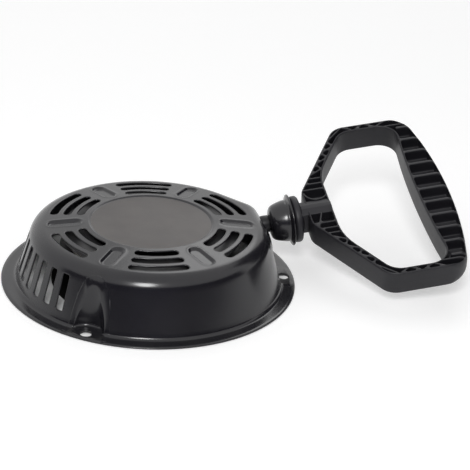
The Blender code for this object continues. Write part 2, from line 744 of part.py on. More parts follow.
def pull_frame():
    """The pull axis: X away from the outlet, Y across the handle, Z out of its front face."""
    turn = rotation_z(PULL_AZIMUTH) @ Matrix.Rotation(-PULL_ELEVATION, 4, "Y") @ Matrix.Rotation(HANDLE_ROLL, 4, "X")
    return Matrix.Translation(outlet_frame().translation) @ turn


def build_rope_lead(material):
    """From the last turn, round the guide's throat and along the pull axis into the handle."""
    _, _, start = departure()
    outlet = pull_frame()
    middle = outlet.translation
    heading = (middle - start).normalized()
    bend = 7.0 * MM
    before, after = middle - heading * bend, outlet @ Vector((bend, 0.0, 0.0))
    points = [start + heading * 1.0 * MM, start + heading * 14.0 * MM, start + heading * 34.0 * MM, before]
    for share in (0.2, 0.4, 0.6, 0.8):
        flat = before * (1 - share) ** 2 + middle * 2 * share * (1 - share) + after * share**2
        points.append(flat)
    points += [after, outlet @ Vector((BELL_START + BELL_LENGTH, 0.0, 0.0)), outlet @ Vector((lead_end(), 0.0, 0.0))]
    return tube("rope_lead", points, ROPE_RADIUS, material, 2)


def lead_end():
    return lip_x() + BOSS_END_X - KNOT_BORE_DEPTH + KNOT_WASHER_THICKNESS + 2 * CLEARANCE


def barrel_knot(axis_start, direction, across, turns):
    """Points of a rope coiled back on itself about an axis."""
    side = direction.cross(across)
    pitch = 2 * ROPE_RADIUS + ROPE_GAP
    points = []
    steps = ceil(turns * 12)
    for i in range(steps + 1):
        angle = 2 * pi * turns * i / steps
        ring = across * cos(angle) + side * sin(angle)
        points.append(axis_start + direction * (pitch * turns * i / steps) + ring * KNOT_COIL_RADIUS)
    return points


def build_knots(material):
    frame = pull_frame()
    start = Vector((lead_end() + CLEARANCE + ROPE_RADIUS, 0.0, 0.0))
    in_handle = barrel_knot(start, Vector((1.0, 0.0, 0.0)), Vector((0.0, 0.0, 1.0)), 1.0)
    tube("rope_knot", [frame @ p for p in in_handle], ROPE_RADIUS, material, 2)
    below = wound_point(0.0)
    below.z = FLANGE_UNDERSIDE - CLEARANCE - ROPE_RADIUS
    outwards = Vector((below.x, below.y, 0.0)).normalized()
    tube("reel_knot", barrel_knot(below, Vector((0.0, 0.0, -1.0)), outwards, 1.0), ROPE_RADIUS, material, 2)


# Pawls and guide plate


def spring_post():
    """Where the reel's stop post for a pawl spring stands, from the pawl's pivot."""
    return polar(PAWL_EYE_RADIUS + 1.5 * MM, radians(100.0))


def pawl_outline():
    """An eye round the pivot that tapers to a nose, in the pawl's rest position."""
    tip = polar(PAWL_LENGTH, PAWL_REST_ANGLE)
    outward = PAWL_REST_ANGLE + pi / 2
    eye = arc((0.0, 0.0), PAWL_EYE_RADIUS, outward, outward + pi)
    nose = arc(tip, PAWL_NOSE_RADIUS, outward + pi, outward + 2 * pi)
    return eye + nose


def build_pawls(steel, spring_steel, reel_frames):
    for number, frame in enumerate(reel_frames, start=1):
        axis = pivot(f"pawl_{number}_axis", frame)
        blank = prism(pawl_outline(), PAWL_LOW, PAWL_HIGH)
        pawl = piece(f"pawl_{number}", blank, steel, axis)
        peg = prism(circle(CAM_PIN_RADIUS, 14), PLATE_LOW, PAWL_LOW + 1.0 * MM)
        peg = placed(peg, Matrix.Translation(polar(CAM_PIN_DISTANCE, PAWL_REST_ANGLE)))
        combine(pawl, f"pawl_{number}_peg", peg, "UNION")
        eye = prism(circle(PAWL_PIN_RADIUS + CLEARANCE, 16), PAWL_LOW - 1.0 * MM, PAWL_HIGH + 1.0 * MM)
        combine(pawl, f"pawl_{number}_eye_cutter", eye)

        head = 0.5 * MM
        pin = lathe(
            [
                (0.0, PAWL_LOW),
                (PAWL_PIN_RADIUS - head, PAWL_LOW),
                (PAWL_PIN_RADIUS, PAWL_LOW + head),
                (PAWL_PIN_RADIUS, PLINTH_FACE + PAWL_PIN_GRIP - CLEARANCE),
                (0.0, PLINTH_FACE + PAWL_PIN_GRIP - CLEARANCE),
            ],
            16,
        )
        pin_piece = piece(f"pawl_pin_{number}", pin, steel)
        pin_piece.matrix_world = frame

        coil = PAWL_PIN_RADIUS + CLEARANCE + PAWL_WIRE_RADIUS
        low = PAWL_HIGH + CLEARANCE + PAWL_WIRE_RADIUS
        high = PLINTH_FACE - CLEARANCE - PAWL_WIRE_RADIUS
        rest = PAWL_REST_ANGLE
        wire = [polar(PAWL_LENGTH * 0.55, rest, low) + polar(coil, rest - pi / 2)]
        steps = 12 * PAWL_COIL_TURNS
        for i in range(steps + 1):
            share = i / steps
            wire.append(polar(coil, rest - pi / 2 - 2 * pi * PAWL_COIL_TURNS * share, low + (high - low) * share))
        wire.append(wire[-1] + polar(PAWL_EYE_RADIUS, rest + pi))
        made = tube(f"pawl_spring_{number}", wire, PAWL_WIRE_RADIUS, spring_steel, 1)
        made.matrix_world = frame


def cam_slot(frame):
    """Path of a pawl's peg over the guide plate, as the plate turns and the pawl swings with it."""
    path = []
    steps = 8
    for i in range(-1, steps + 2):
        share = i / steps
        peg = frame @ polar(CAM_PIN_DISTANCE, PAWL_REST_ANGLE + PAWL_SWING * share)
        peg = rotation_z(-PLATE_TURN * share) @ peg
        path.append((peg.x, peg.y))
    return path


def build_guide_plate(material, frames):
    edge = 0.5 * MM
    profile = [
        (POST_RADIUS + CLEARANCE, PLATE_LOW),
        (PLATE_RADIUS - edge, PLATE_LOW),
        (PLATE_RADIUS, PLATE_LOW + edge),
        (PLATE_RADIUS, PLATE_HIGH),
        (POST_RADIUS + CLEARANCE, PLATE_HIGH),
    ]
    plate = piece("guide_plate", lathe(profile, 40), material)
    width = 2 * (CAM_PIN_RADIUS + CLEARANCE)
    slots = [prism(ribbon(cam_slot(f), width), PLATE_LOW - 1.0 * MM, PLATE_HIGH + 1.0 * MM) for f in frames]
    combine(plate, "cam_slot_cutter", joined(slots))
    return plate


def ring(inner, outer, low, high):
    return [(inner, low), (outer, low), (outer, high), (inner, high)]


def build_stack(steel, zinc):
    washer = ring(POST_RADIUS + CLEARANCE, THRUST_WASHER_RADIUS, WASHER_LOW, WASHER_LOW + THRUST_WASHER_THICKNESS)
    piece("thrust_washer", lathe(washer, 32), zinc)

    segments = 36
    middle = (POST_FOOT + PLATE_LOW) / 2 - WAVE_THICKNESS / 2
    inner, outer = POST_RADIUS + CLEARANCE, SCREW_FLANGE_RADIUS - CLEARANCE
    points, faces = lathe(ring(inner, outer, middle, middle + WAVE_THICKNESS), segments)
    swing = (PLATE_LOW - POST_FOOT - WAVE_THICKNESS) / 2 - CLEARANCE
    waved = [p + Vector((0.0, 0.0, min(swing, WAVE_HEIGHT) * cos(WAVES * atan2(p.y, p.x)))) for p in points]
    piece("friction_spring", (waved, faces), steel)

    flange_high = POST_FOOT - CLEARANCE
    flange_low = flange_high - SCREW_FLANGE_THICKNESS
    head = prism(circle(SCREW_HEAD_RADIUS, 6), 0.0, flange_low + 0.5 * MM)
    top = POST_FOOT + SCREW_LENGTH
    profile = [
        (0.0, flange_low),
        (SCREW_FLANGE_RADIUS - 0.6 * MM, flange_low),
        (SCREW_FLANGE_RADIUS, flange_low + 0.6 * MM),
        (SCREW_FLANGE_RADIUS, flange_high),
        (SCREW_SHANK_RADIUS, flange_high),
        (SCREW_SHANK_RADIUS, top - 0.8 * MM),
        (SCREW_SHANK_RADIUS - 0.8 * MM, top),
        (0.0, top),
    ]
    screw = piece("centre_screw", lathe(profile), zinc)
    combine(screw, "screw_hexagon", head, "UNION")


# Handle, bell and what they hold


def lip_x():
    """The bell's lip along the pull axis, from the outlet."""
    return BELL_START + BELL_LENGTH


def grip_x(across):
    return HANDLE_GRIP_X - across**2 / (2 * GRIP_BOW_RADIUS)


def grip_inner_x(across):
    return HANDLE_GRIP_X - GRIP_WIDTH + across**2 / (2 * GRIP_INNER_BOW_RADIUS)


def mirrored(half):
    """A counter-clockwise outline from its upper half, which runs from right to left."""
    return half + [(x, -y, r) for x, y, r in reversed(half) if y > 1e-6]


def arm_x(across):
    """The outer edge of an arm."""
    return HANDLE_CORNER_X - (HANDLE_WIDTH / 2 - across) / tan(ARM_SLOPE)


def arm_inner_x(across):
    return arm_x(across) + ARM_WIDTH / sin(ARM_SLOPE)


def handle_outline(grip_inset=0.0):
    """The outer edge. Its grip side moves in by the inset, for the rounding towards both faces."""
    side = HANDLE_WIDTH / 2
    half = [(grip_x(y) - grip_inset, y, 0.0) for y in (0.0, side * 0.22, side * 0.44, side * 0.66)]
    half += [
        (grip_x(side) - grip_inset, side, GRIP_CORNER_FILLET),
        (HANDLE_CORNER_X, side, CORNER_FILLET),
        (NECK_X, NECK_HALF_WIDTH, NECK_FILLET),
        (NECK_X, 4.0 * MM, 0.0),
    ]
    return rounded(mirrored(half))


def opening_outline():
    side = HANDLE_WIDTH / 2 - SHORT_SIDE_WIDTH
    bend = side - (arm_inner_x(side) - BOSS_END_X) * tan(ARM_SLOPE)
    half = [(grip_inner_x(y), y, 0.0) for y in (0.0, side * 0.3, side * 0.6)]
    half += [
        (grip_inner_x(side), side, CORNER_FILLET),
        (arm_inner_x(side), side, CORNER_FILLET),
        (BOSS_END_X, bend, 3 * CORNER_FILLET),
    ]
    return rounded(mirrored(half))


def handle_body(inset, low, high):
    """The handle filled in between two heights, its grip edge rounded; inset makes it smaller."""
    face = HANDLE_THICKNESS / 2
    straight = face - GRIP_ROUNDING
    rises = [straight, straight + 0.62 * GRIP_ROUNDING]
    if not inset:
        rises.append(face - EDGE_CHAMFER)
    heights = {low, high} | {h for rise in rises for h in (rise, -rise) if low < h < high}
    loops = []
    for height in sorted(heights):
        over = min(max(0.0, abs(height) - straight), GRIP_ROUNDING)
        grip_inset = GRIP_FLATNESS * (GRIP_ROUNDING - (GRIP_ROUNDING**2 - over**2) ** 0.5)
        edge = inset or max(0.0, EDGE_CHAMFER - (face - abs(height)))
        loops.append([(x, y, height) for x, y in shifted(handle_outline(grip_inset), -edge)])
    return loft(loops)


def bar(start, end, width=RIB_WIDTH):
    """A straight rib through the handle's whole thickness."""
    return prism(ribbon([start, end], width), -HANDLE_THICKNESS, HANDLE_THICKNESS)


def arm_ribs():
    """Ribs of the upper arm and short side: a curved one, straight ones and a zigzag."""
    rim = RIM_WIDTH / 2
    curve_radius = 8.0 * MM
    centre = ((NECK_X + BOSS_END_X) / 2 + 1.0 * MM, BOSS_RADIUS + curve_radius)
    curved = arc(centre, curve_radius, -pi * 0.97, -pi * 0.03, radians(24.0))
    ribs = [prism(ribbon(curved, RIB_WIDTH), -HANDLE_THICKNESS, HANDLE_THICKNESS)]
    for across in (16.5 * MM, 22.0 * MM, 27.0 * MM):
        inner = max(BOSS_END_X, arm_inner_x(across)) - rim
        ribs.append(bar((arm_x(across) + rim, across), (inner, across)))

    side = HANDLE_WIDTH / 2
    corner = side - CORNER_FILLET
    steps = 6
    first = 0.202 * HANDLE_WIDTH
    zigzag = []
    for i in range(steps + 1):
        across = first + (corner - first) * i / steps
        on_outer = i % 2 == 0
        x = arm_x(across) + rim / sin(ARM_SLOPE) if on_outer else arm_inner_x(across) - rim / sin(ARM_SLOPE)
        zigzag.append((x, across))
    start, end = HANDLE_CORNER_X + 6.0 * MM, grip_inner_x(side) - 6.0 * MM
    steps = 4
    for i in range(steps + 1):
        x = start + (end - start) * i / steps
        zigzag.append((x, side - rim if i % 2 == 0 else side - SHORT_SIDE_WIDTH + rim))
    ribs += [bar(a, b) for a, b in zip(zigzag, zigzag[1:])]
    straight = side - SHORT_SIDE_WIDTH - rim
    ribs.append(bar((grip_inner_x(side) - CORNER_FILLET, straight), (grip_x(side), straight)))
    return ribs


def grip_ribs():
    ribs = []
    for i in range(GRIP_RIBS):
        across = GRIP_RIB_PITCH * (i - (GRIP_RIBS - 1) / 2)
        start = (grip_inner_x(across) + RIM_WIDTH / 2, across)
        ribs.append(bar(start, (grip_x(across) - RIM_WIDTH / 2, across)))
    return ribs


def build_handle(material, parent):
    """A web between two faces of pockets, which leave the rims and ribs standing."""
    opening = opening_outline()
    high = HANDLE_THICKNESS / 2
    handle = piece("handle", handle_body(0.0, -high, high), material, parent)
    handle.location.x = lip_x()

    upper = arm_ribs()
    flip = Matrix.Scale(-1.0, 4, Vector((0.0, 1.0, 0.0)))
    lower = [([flip @ p for p in points], [face[::-1] for face in faces]) for points, faces in upper]
    ribs = joined(upper + lower + grip_ribs())
    rim = prism(shifted(opening, RIM_WIDTH), -2 * high, 2 * high)
    for side in (-1, 1):
        floor, top = side * WEB_THICKNESS / 2, side * (high + 1.0 * MM)
        space = handle_body(RIM_WIDTH, min(floor, top), max(floor, top))
        pocket_space = combine(handle, f"handle_pocket_{side}", space)
        pocket_space.location = handle.location
        combine(pocket_space, f"handle_rim_{side}", rim).location = handle.location
        combine(pocket_space, f"handle_ribs_{side}", ribs, overlapping=True).location = handle.location

    edge = 1.0 * MM
    face = BELL_LIP_THICKNESS / 2 + CLEARANCE
    boss = [
        (0.0, face),
        (BASE_RADIUS - 1.5 * edge, face),
        (BASE_RADIUS, face + 1.5 * edge),
        (BASE_RADIUS, BASE_THICKNESS),
        (BASE_RADIUS - edge, BASE_THICKNESS + edge),
        (NECK_RADIUS, BASE_THICKNESS + 1.5 * edge),
        (NECK_RADIUS - edge, NECK_X + edge),
        (BOSS_RADIUS, NECK_X + 4 * edge),
        (BOSS_RADIUS, BOSS_END_X - 0.2 * edge),
        (0.0, BOSS_END_X - 0.2 * edge),
    ]
    combine(handle, "handle_boss", along_x(lathe(boss, 32)), "UNION").location = handle.location

    bore = [
        (0.0, 0.0),
        (BORE_RADIUS, 0.0),
        (BORE_RADIUS, BOSS_END_X - KNOT_BORE_DEPTH),
        (KNOT_BORE_RADIUS, BOSS_END_X - KNOT_BORE_DEPTH),
        (KNOT_BORE_RADIUS, BOSS_END_X + edge),
        (0.0, BOSS_END_X + edge),
    ]
    cuts = [prism(opening, -2 * high, 2 * high), along_x(lathe(bore))]
    combine(handle, "handle_cutter", joined(cuts), overlapping=True).location = handle.location
    return handle


def build_bell(material, parent):
    half = BELL_LIP_THICKNESS / 2
    bore = ROPE_RADIUS + CLEARANCE
    length = BELL_LENGTH
    corner = 5.0 * MM
    shoulder = arc((length - corner, BELL_SHOULDER_RADIUS - corner), corner, 0.0, pi / 2, pi / 8)
    profile = [(bore, -length), (BELL_FACE_RADIUS, -length)]
    profile += [(radius, -x) for x, radius in shoulder]
    profile += [
        (BELL_RIM_RADIUS, -2 * half),
        (BELL_LIP_RADIUS - half, -half),
        (BELL_LIP_RADIUS, 0.0),
        (BELL_LIP_RADIUS - half, half / 2),
        (BELL_RIM_RADIUS - 2 * half, half),
        (bore, half),
    ]
    bell = piece("bell", along_x(lathe(profile, 26)), material, parent)
    bell.location.x = lip_x()
    return bell


def build_knot_washer(material, parent):
    seat = BOSS_END_X - KNOT_BORE_DEPTH + CLEARANCE
    profile = ring(BORE_RADIUS, KNOT_BORE_RADIUS - CLEARANCE, seat, seat + KNOT_WASHER_THICKNESS)
    washer = piece("knot_washer", along_x(lathe(profile)), material, parent)
    washer.location.x = lip_x()


def main():
    for old in list(bpy.data.objects):
        bpy.data.objects.remove(old)

    black_paint = paint("black_paint", (0.03, 0.03, 0.033), 0.42)
    black_plastic = paint("black_plastic", (0.028, 0.028, 0.031), 0.55)
    rubber = paint("rubber", (0.02, 0.02, 0.023), 0.35)
    reel_plastic = paint("reel_plastic", (0.05, 0.05, 0.055), 0.5)
    steel = paint("steel", (0.5, 0.5, 0.5), 0.35, 1.0)
    spring_steel = paint("spring_steel", (0.22, 0.24, 0.27), 0.3, 1.0)
    zinc = paint("zinc", (0.62, 0.62, 0.6), 0.4, 1.0)
    rope = paint("rope", (0.72, 0.7, 0.66), 0.8)

    frames = pawl_frames()
    build_housing(black_paint)
    build_rope_guide(black_plastic)
    build_centre_post(steel)
    build_stack(spring_steel, zinc)
    build_reel(reel_plastic)
    build_recoil_spring(spring_steel)
    build_pawls(zinc, spring_steel, frames)
    build_guide_plate(zinc, frames)
    build_rope_turns(rope)
    build_rope_lead(rope)
    build_knots(rope)
    pull_axis = pivot("pull_axis", pull_frame())
    build_bell(rubber, pull_axis)
    build_handle(black_plastic, pull_axis)
    build_knot_washer(zinc, pull_axis)


main()
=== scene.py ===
# %% [markdown]
# # A recoil starter with a D-handle
# A recoil starter is the pull-cord unit on the side of a small engine. A steel bowl holds a reel
# with the rope on it, and a flat spring winds the rope back in. The rope leaves through a bushing
# in the wall, goes through a rubber stopper bell, and is knotted inside the handle.
# The working model gives every part its place. This script dresses it: finer shapes for what is
# seen, and a finish for every surface.

# %% Load the working model
from math import acos, atan2, ceil, cos, hypot, pi, radians, sin, sqrt, tan
import bpy
import bmesh
import numpy as np
from mathutils import Matrix, Vector
from mathutils.geometry import delaunay_2d_cdt


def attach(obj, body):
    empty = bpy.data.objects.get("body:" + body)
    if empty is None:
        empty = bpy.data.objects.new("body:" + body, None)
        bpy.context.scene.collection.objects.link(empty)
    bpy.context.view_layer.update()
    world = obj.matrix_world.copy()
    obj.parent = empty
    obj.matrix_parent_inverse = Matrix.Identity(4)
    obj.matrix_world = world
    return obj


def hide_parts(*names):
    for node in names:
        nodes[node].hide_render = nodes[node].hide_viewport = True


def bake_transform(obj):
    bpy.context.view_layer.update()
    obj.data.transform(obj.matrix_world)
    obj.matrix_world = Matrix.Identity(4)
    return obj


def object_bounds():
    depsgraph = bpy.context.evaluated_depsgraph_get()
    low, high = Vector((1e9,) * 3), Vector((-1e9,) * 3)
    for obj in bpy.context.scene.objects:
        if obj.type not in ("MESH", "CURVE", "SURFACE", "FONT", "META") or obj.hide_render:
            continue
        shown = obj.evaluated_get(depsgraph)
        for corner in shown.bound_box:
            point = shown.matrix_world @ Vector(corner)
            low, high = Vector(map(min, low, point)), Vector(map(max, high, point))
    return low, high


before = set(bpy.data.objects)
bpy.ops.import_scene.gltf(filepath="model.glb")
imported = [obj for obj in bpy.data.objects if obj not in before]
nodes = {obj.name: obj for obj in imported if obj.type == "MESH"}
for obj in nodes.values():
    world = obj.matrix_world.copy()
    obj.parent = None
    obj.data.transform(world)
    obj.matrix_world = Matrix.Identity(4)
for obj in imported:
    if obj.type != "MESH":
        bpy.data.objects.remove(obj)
cad_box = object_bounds()
MM = 0.001
print("parts of the working model:", len(nodes))

# %% [markdown]
# ## The viewpoint
# The photograph was taken from about a metre away with a long lens, a little above the unit and
# turned slightly. A long lens keeps the bowl's ellipse flat. The camera's own axes are written
# down as three directions, and together they make its rotation.

# %% Place the camera
FOCAL_LENGTH = 138.03
SENSOR_WIDTH = 36.0
eye = Vector((-0.1003, -1.0396, 0.5301))
eye_right = Vector((0.99108, -0.11955, 0.05877))
eye_up = Vector((-0.00125, 0.43281, 0.9015))
eye_back = eye_right.cross(eye_up)
lens = bpy.data.cameras.new("viewpoint")
lens.lens = FOCAL_LENGTH
lens.sensor_width = SENSOR_WIDTH
viewpoint = bpy.data.objects.new("viewpoint", lens)
bpy.context.collection.objects.link(viewpoint)
turn = Matrix((eye_right, eye_up, eye_back)).transposed()
viewpoint.matrix_world = Matrix.Translation(eye) @ turn.to_4x4()
bpy.context.scene.camera = viewpoint
bpy.context.scene.view_settings.view_transform = "Standard"
print("camera is", round(eye.length, 2), "m from the crank axis")

# %% [markdown]
# ## A plain studio
# Black enamel has almost no colour of its own: it shows what it reflects. The room is an even pale
# grey, one soft lamp above the front gives the highlights on the shoulder and the bell, and dark
# screens stand behind the camera and at the right, as a photographer places them, so that the wall
# stays black. The floor is pale and keeps the shadow; for the camera and for reflections it glows
# a little more, so that it reads as white paper. Under the bowl it doesn't glow, and a near-black
# disc lies there as painted shade for the bowl's dark inside, so that the slots stay dark.


# %% Helpers for shader graphs
def graph_of(owner):
    owner.use_nodes = True
    return owner.node_tree


def add_node(tree, kind, **settings):
    made = tree.nodes.new(kind)
    for name, value in settings.items():
        setattr(made, name, value)
    return made


def feed(tree, socket, value):
    """Gives a socket a number or a colour, or links it to another node's output."""
    if isinstance(value, bpy.types.NodeSocket):
        tree.links.new(value, socket)
    else:
        socket.default_value = value


def math_node(tree, operation, first, second=None, clamp=False):
    made = add_node(tree, "ShaderNodeMath", operation=operation, use_clamp=clamp)
    feed(tree, made.inputs[0], first)
    if second is not None:
        feed(tree, made.inputs[1], second)
    return made.outputs[0]


def ramp(tree, value, low, high, first=0.0, last=1.0):
    """Goes softly from first to last while the value goes from low to high."""
    made = add_node(tree, "ShaderNodeMapRange", interpolation_type="SMOOTHSTEP")
    sockets = ("Value", "From Min", "From Max", "To Min", "To Max")
    for name, given in zip(sockets, (value, low, high, first, last)):
        feed(tree, made.inputs[name], given)
    return made.outputs["Result"]


def own_place(tree):
    """The x, y and z of a surface's point, measured in the object itself."""
    split = add_node(tree, "ShaderNodeSeparateXYZ")
    tree.links.new(add_node(tree, "ShaderNodeTexCoord").outputs["Object"], split.inputs[0])
    return split.outputs


def looked_at(tree):
    """1 where a ray comes from the camera, a mirror or glass, and 0 where it only carries light."""
    path = add_node(tree, "ShaderNodeLightPath")
    seen = math_node(tree, "ADD", path.outputs["Is Camera Ray"], path.outputs["Is Glossy Ray"])
    return math_node(tree, "ADD", seen, path.outputs["Is Transmission Ray"], clamp=True)


def dull(name, grey, roughness=1.0, specular=0.0):
    """A material of one grey without much gloss, and its shader."""
    material = bpy.data.materials.new(name)
    shader = graph_of(material).nodes["Principled BSDF"]
    shader.inputs["Base Color"].default_value = (grey, grey, grey, 1.0)
    shader.inputs["Roughness"].default_value = roughness
    shader.inputs["Specular IOR Level"].default_value = specular
    return material, shader


def clear_from_below(material):
    """Seen from its back, the sheet isn't there, so that the starter's underside can be looked at."""
    tree = material.node_tree
    behind = add_node(tree, "ShaderNodeNewGeometry").outputs["Backfacing"]
    shader = tree.nodes["Principled BSDF"]
    tree.links.new(math_node(tree, "SUBTRACT", 1.0, behind), shader.inputs["Alpha"])


def stage_sheet(name, corners, faces, material, height=0.0):
    """A flat or bent sheet that belongs to the studio."""
    mesh = bpy.data.meshes.new(name)
    mesh.from_pydata(corners, [], faces)
    mesh.materials.append(material)
    made = bpy.data.objects.new(name, mesh)
    made.location.z = height
    bpy.context.collection.objects.link(made)
    return made


def circle(radius, count):
    return [(radius * cos(2 * pi * k / count), radius * sin(2 * pi * k / count)) for k in range(count)]


# %% Lay the floor
FLOOR_HALF = 6.0
FLOOR_GREY = 0.86
FLOOR_GLOW = 0.27
GLOW_STARTS, GLOW_FULL = 86.0 * MM, 95.0 * MM
FLOOR_HEIGHT = cad_box[0][2] - 0.2 * MM
paper, shader = dull("white_paper", FLOOR_GREY, roughness=0.9, specular=0.5)
tree = paper.node_tree
place = own_place(tree)
squares = [math_node(tree, "POWER", place[side], 2.0) for side in ("X", "Y")]
from_axis = math_node(tree, "SQRT", math_node(tree, "ADD", *squares))
glow = ramp(tree, from_axis, GLOW_STARTS, GLOW_FULL, 0.0, FLOOR_GLOW)
shader.inputs["Emission Color"].default_value = (1.0, 1.0, 1.0, 1.0)
tree.links.new(math_node(tree, "MULTIPLY", looked_at(tree), glow), shader.inputs["Emission Strength"])
clear_from_below(paper)
corners = [(x * FLOOR_HALF, y * FLOOR_HALF, 0.0) for x, y in ((-1, -1), (1, -1), (1, 1), (-1, 1))]
floor = stage_sheet("floor", corners, [(0, 1, 2, 3)], paper, FLOOR_HEIGHT)
print("floor lies at", round(floor.location.z / MM, 2), "mm")

# %% Light the room
ROOM_LIGHT = 0.62
room = bpy.data.worlds.new("room")
bpy.context.scene.world = room
tree = graph_of(room)
extra = math_node(tree, "MULTIPLY", looked_at(tree), 1.0 - ROOM_LIGHT)
backdrop = tree.nodes["Background"]
backdrop.inputs["Color"].default_value = (1.0, 1.0, 1.0, 1.0)
tree.links.new(math_node(tree, "ADD", extra, ROOM_LIGHT), backdrop.inputs["Strength"])


def soft_lamp(name, place, aim, width, height, watts):
    data = bpy.data.lights.new(name, "AREA")
    data.shape = "ELLIPSE"
    data.size = width
    data.size_y = height
    data.energy = watts
    lamp = bpy.data.objects.new(name, data)
    bpy.context.collection.objects.link(lamp)
    lamp.location = place
    lamp.rotation_euler = (Vector(aim) - Vector(place)).to_track_quat("-Z", "Y").to_euler()


soft_lamp("key_lamp", (-0.2, -1.25, 1.12), (0.02, 0.0, 0.02), 0.44, 0.62, 13.5)
soft_lamp("back_lamp", (0.5, 1.4, 1.3), (0.05, 0.0, 0.0), 0.9, 0.9, 3.5)
print("lamps:", [light.name for light in bpy.data.lights])

# %% Stand dark screens where the camera doesn't see them
SCREEN_COLUMNS = 16
FELT_PALE, FELT_DARK = 0.16, 0.02
FELT_TINT = {"Red": 1.0, "Green": 0.97, "Blue": 1.35}
felt, shader = dull("dark_felt", FELT_DARK)
tree = felt.node_tree
sideways = math_node(tree, "ABSOLUTE", own_place(tree)["X"])
shade = add_node(tree, "ShaderNodeCombineColor")
level = ramp(tree, sideways, 0.25, 1.3, FELT_PALE, FELT_DARK)
for name, tint in FELT_TINT.items():
    tree.links.new(math_node(tree, "MULTIPLY", level, tint), shade.inputs[name])
tree.links.new(shade.outputs[0], shader.inputs["Base Color"])


def screen(name, wide, deep, low, high, first, last):
    """Upright strips on an arc round the object; angles are counted from behind the camera."""
    angles = np.radians(np.linspace(first, last, SCREEN_COLUMNS))
    corners = [(wide * sin(a), -deep * cos(a), z) for a in angles for z in (low, high)]
    strips = [(2 * i, 2 * i + 2, 2 * i + 3, 2 * i + 1) for i in range(SCREEN_COLUMNS - 1)]
    stage_sheet(name, corners, strips, felt).visible_camera = False


screen("front_screen", 2.6, 2.2, 0.02, 1.15, -88, 88)
screen("right_screen", 1.5, 1.5, 0.25, 1.5, 105, 142)

# %% Lay a dark disc of painted shade under the bowl
# A near-black disc on the floor inside the bowl is painted shade for the bowl's dark inside, so that the
# slots stay dark.
SHADE_DISC_RADIUS = 63.0 * MM
SHADE_DISC_CORNERS = 64
shade_under_bowl, shader = dull("shade_under_bowl", 0.012)
clear_from_below(shade_under_bowl)
edge = [(x, y, 0.0) for x, y in circle(SHADE_DISC_RADIUS, SHADE_DISC_CORNERS)]
disc = [list(range(SHADE_DISC_CORNERS))]
stage_sheet("painted_shade_disc", edge, disc, shade_under_bowl, FLOOR_HEIGHT + 0.1 * MM)
print("staged: floor, two screens and a felt disc")

# %% [markdown]
# ## Sections and outlines
# A stamped bowl is drawn as half a section and turned; a moulded handle is drawn as outlines that
# rise through levels. Both start as lists of points whose corners are rounded by arcs, so these
# small drawing helpers come first.


# %% Lines
def arc(centre, radius, start, end, step):
    steps = max(1, ceil(abs(end - start) / step - 1e-6))
    angles = [start + (end - start) * i / steps for i in range(steps + 1)]
    return [(centre[0] + radius * cos(a), centre[1] + radius * sin(a)) for a in angles]


def rounded(corners, closed=True, step=radians(9.0)):
    """The line through corners (x, y, fillet), each fillet as large as its neighbours allow."""
    points = []
    for i, (x, y, radius) in enumerate(corners):
        if radius <= 0 or (not closed and i in (0, len(corners) - 1)):
            points.append((x, y))
            continue
        here = Vector((x, y))
        back = Vector(corners[i - 1][:2]) - here
        ahead = Vector(corners[(i + 1) % len(corners)][:2]) - here
        room = 0.49 * min(back.length, ahead.length)
        back.normalize()
        ahead.normalize()
        half = acos(max(-1.0, min(1.0, back.dot(ahead)))) / 2
        radius = min(radius, room * tan(half))
        centre = here + (back + ahead).normalized() * (radius / sin(half))
        first = here + back * (radius / tan(half)) - centre
        last = here + ahead * (radius / tan(half)) - centre
        start = atan2(first.y, first.x)
        turning = (atan2(last.y, last.x) - start + pi) % (2 * pi) - pi
        points += arc(centre, radius, start, start + turning, step)
    return points


def shifted(points, distance, closed=True):
    """The line moved to its right, so that a counter-clockwise outline grows."""
    result = []
    for i, point in enumerate(points):
        before = points[i - 1] if closed or i else None
        after = points[(i + 1) % len(points)] if closed or i < len(points) - 1 else None
        sides = []
        for a, b in ((before, point), (point, after)):
            if a is not None and b is not None:
                length = max(1e-9, hypot(b[0] - a[0], b[1] - a[1]))
                sides.append(((b[1] - a[1]) / length, (a[0] - b[0]) / length))
        (ax, ay), (bx, by) = sides[0], sides[-1]
        scale = distance / max(0.2, 1.0 + ax * bx + ay * by)
        result.append((point[0] + (ax + bx) * scale, point[1] + (ay + by) * scale))
    return result


def spaced(points, spacing, closed=False):
    """More points along the line, none further apart than the spacing."""
    result = []
    ends = points + [points[0]] if closed else points
    for a, b in zip(ends, ends[1:]):
        parts = max(1, ceil(hypot(b[0] - a[0], b[1] - a[1]) / spacing))
        for i in range(parts):
            result.append((a[0] + (b[0] - a[0]) * i / parts, a[1] + (b[1] - a[1]) * i / parts))
    return result if closed else result + [points[-1]]


def in_metres(outline):
    """An outline that is written down in millimetres."""
    return [tuple(value * MM for value in point) for point in outline]


def smooth_step(value):
    value = np.clip(value, 0.0, 1.0)
    return value * value * (3.0 - 2.0 * value)


# %% Solids
def made_piece(name, points, faces, sharp=35.0):
    """A mesh object with its faces turned outwards and its round faces shaded smooth."""
    mesh = bpy.data.meshes.new(name)
    mesh.from_pydata([tuple(p) for p in points], [], faces)
    work = bmesh.new()
    work.from_mesh(mesh)
    bmesh.ops.recalc_face_normals(work, faces=work.faces)
    work.to_mesh(mesh)
    work.free()
    mesh.shade_smooth()
    mesh.set_sharp_from_angle(angle=radians(sharp))
    made = bpy.data.objects.new(name, mesh)
    bpy.context.collection.objects.link(made)
    return made


def ring_faces(rows, count, closed=False):
    """Faces between rows of a turned or lofted form, each row a closed ring of count points."""
    faces = []
    for row in range(rows if closed else rows - 1):
        low, high = row * count, (row + 1) % rows * count
        for i in range(count):
            j = (i + 1) % count
            faces.append((low + i, low + j, high + j, high + i))
    return faces


def turned(profile, count):
    """A closed profile of (radius, height), turned about Z."""
    points = [Vector((x, y, height)) for radius, height in profile for x, y in circle(radius, count)]
    return points, ring_faces(len(profile), count, closed=True)


def placed(shape, matrix):
    return [matrix @ Vector(p) for p in shape[0]], shape[1]


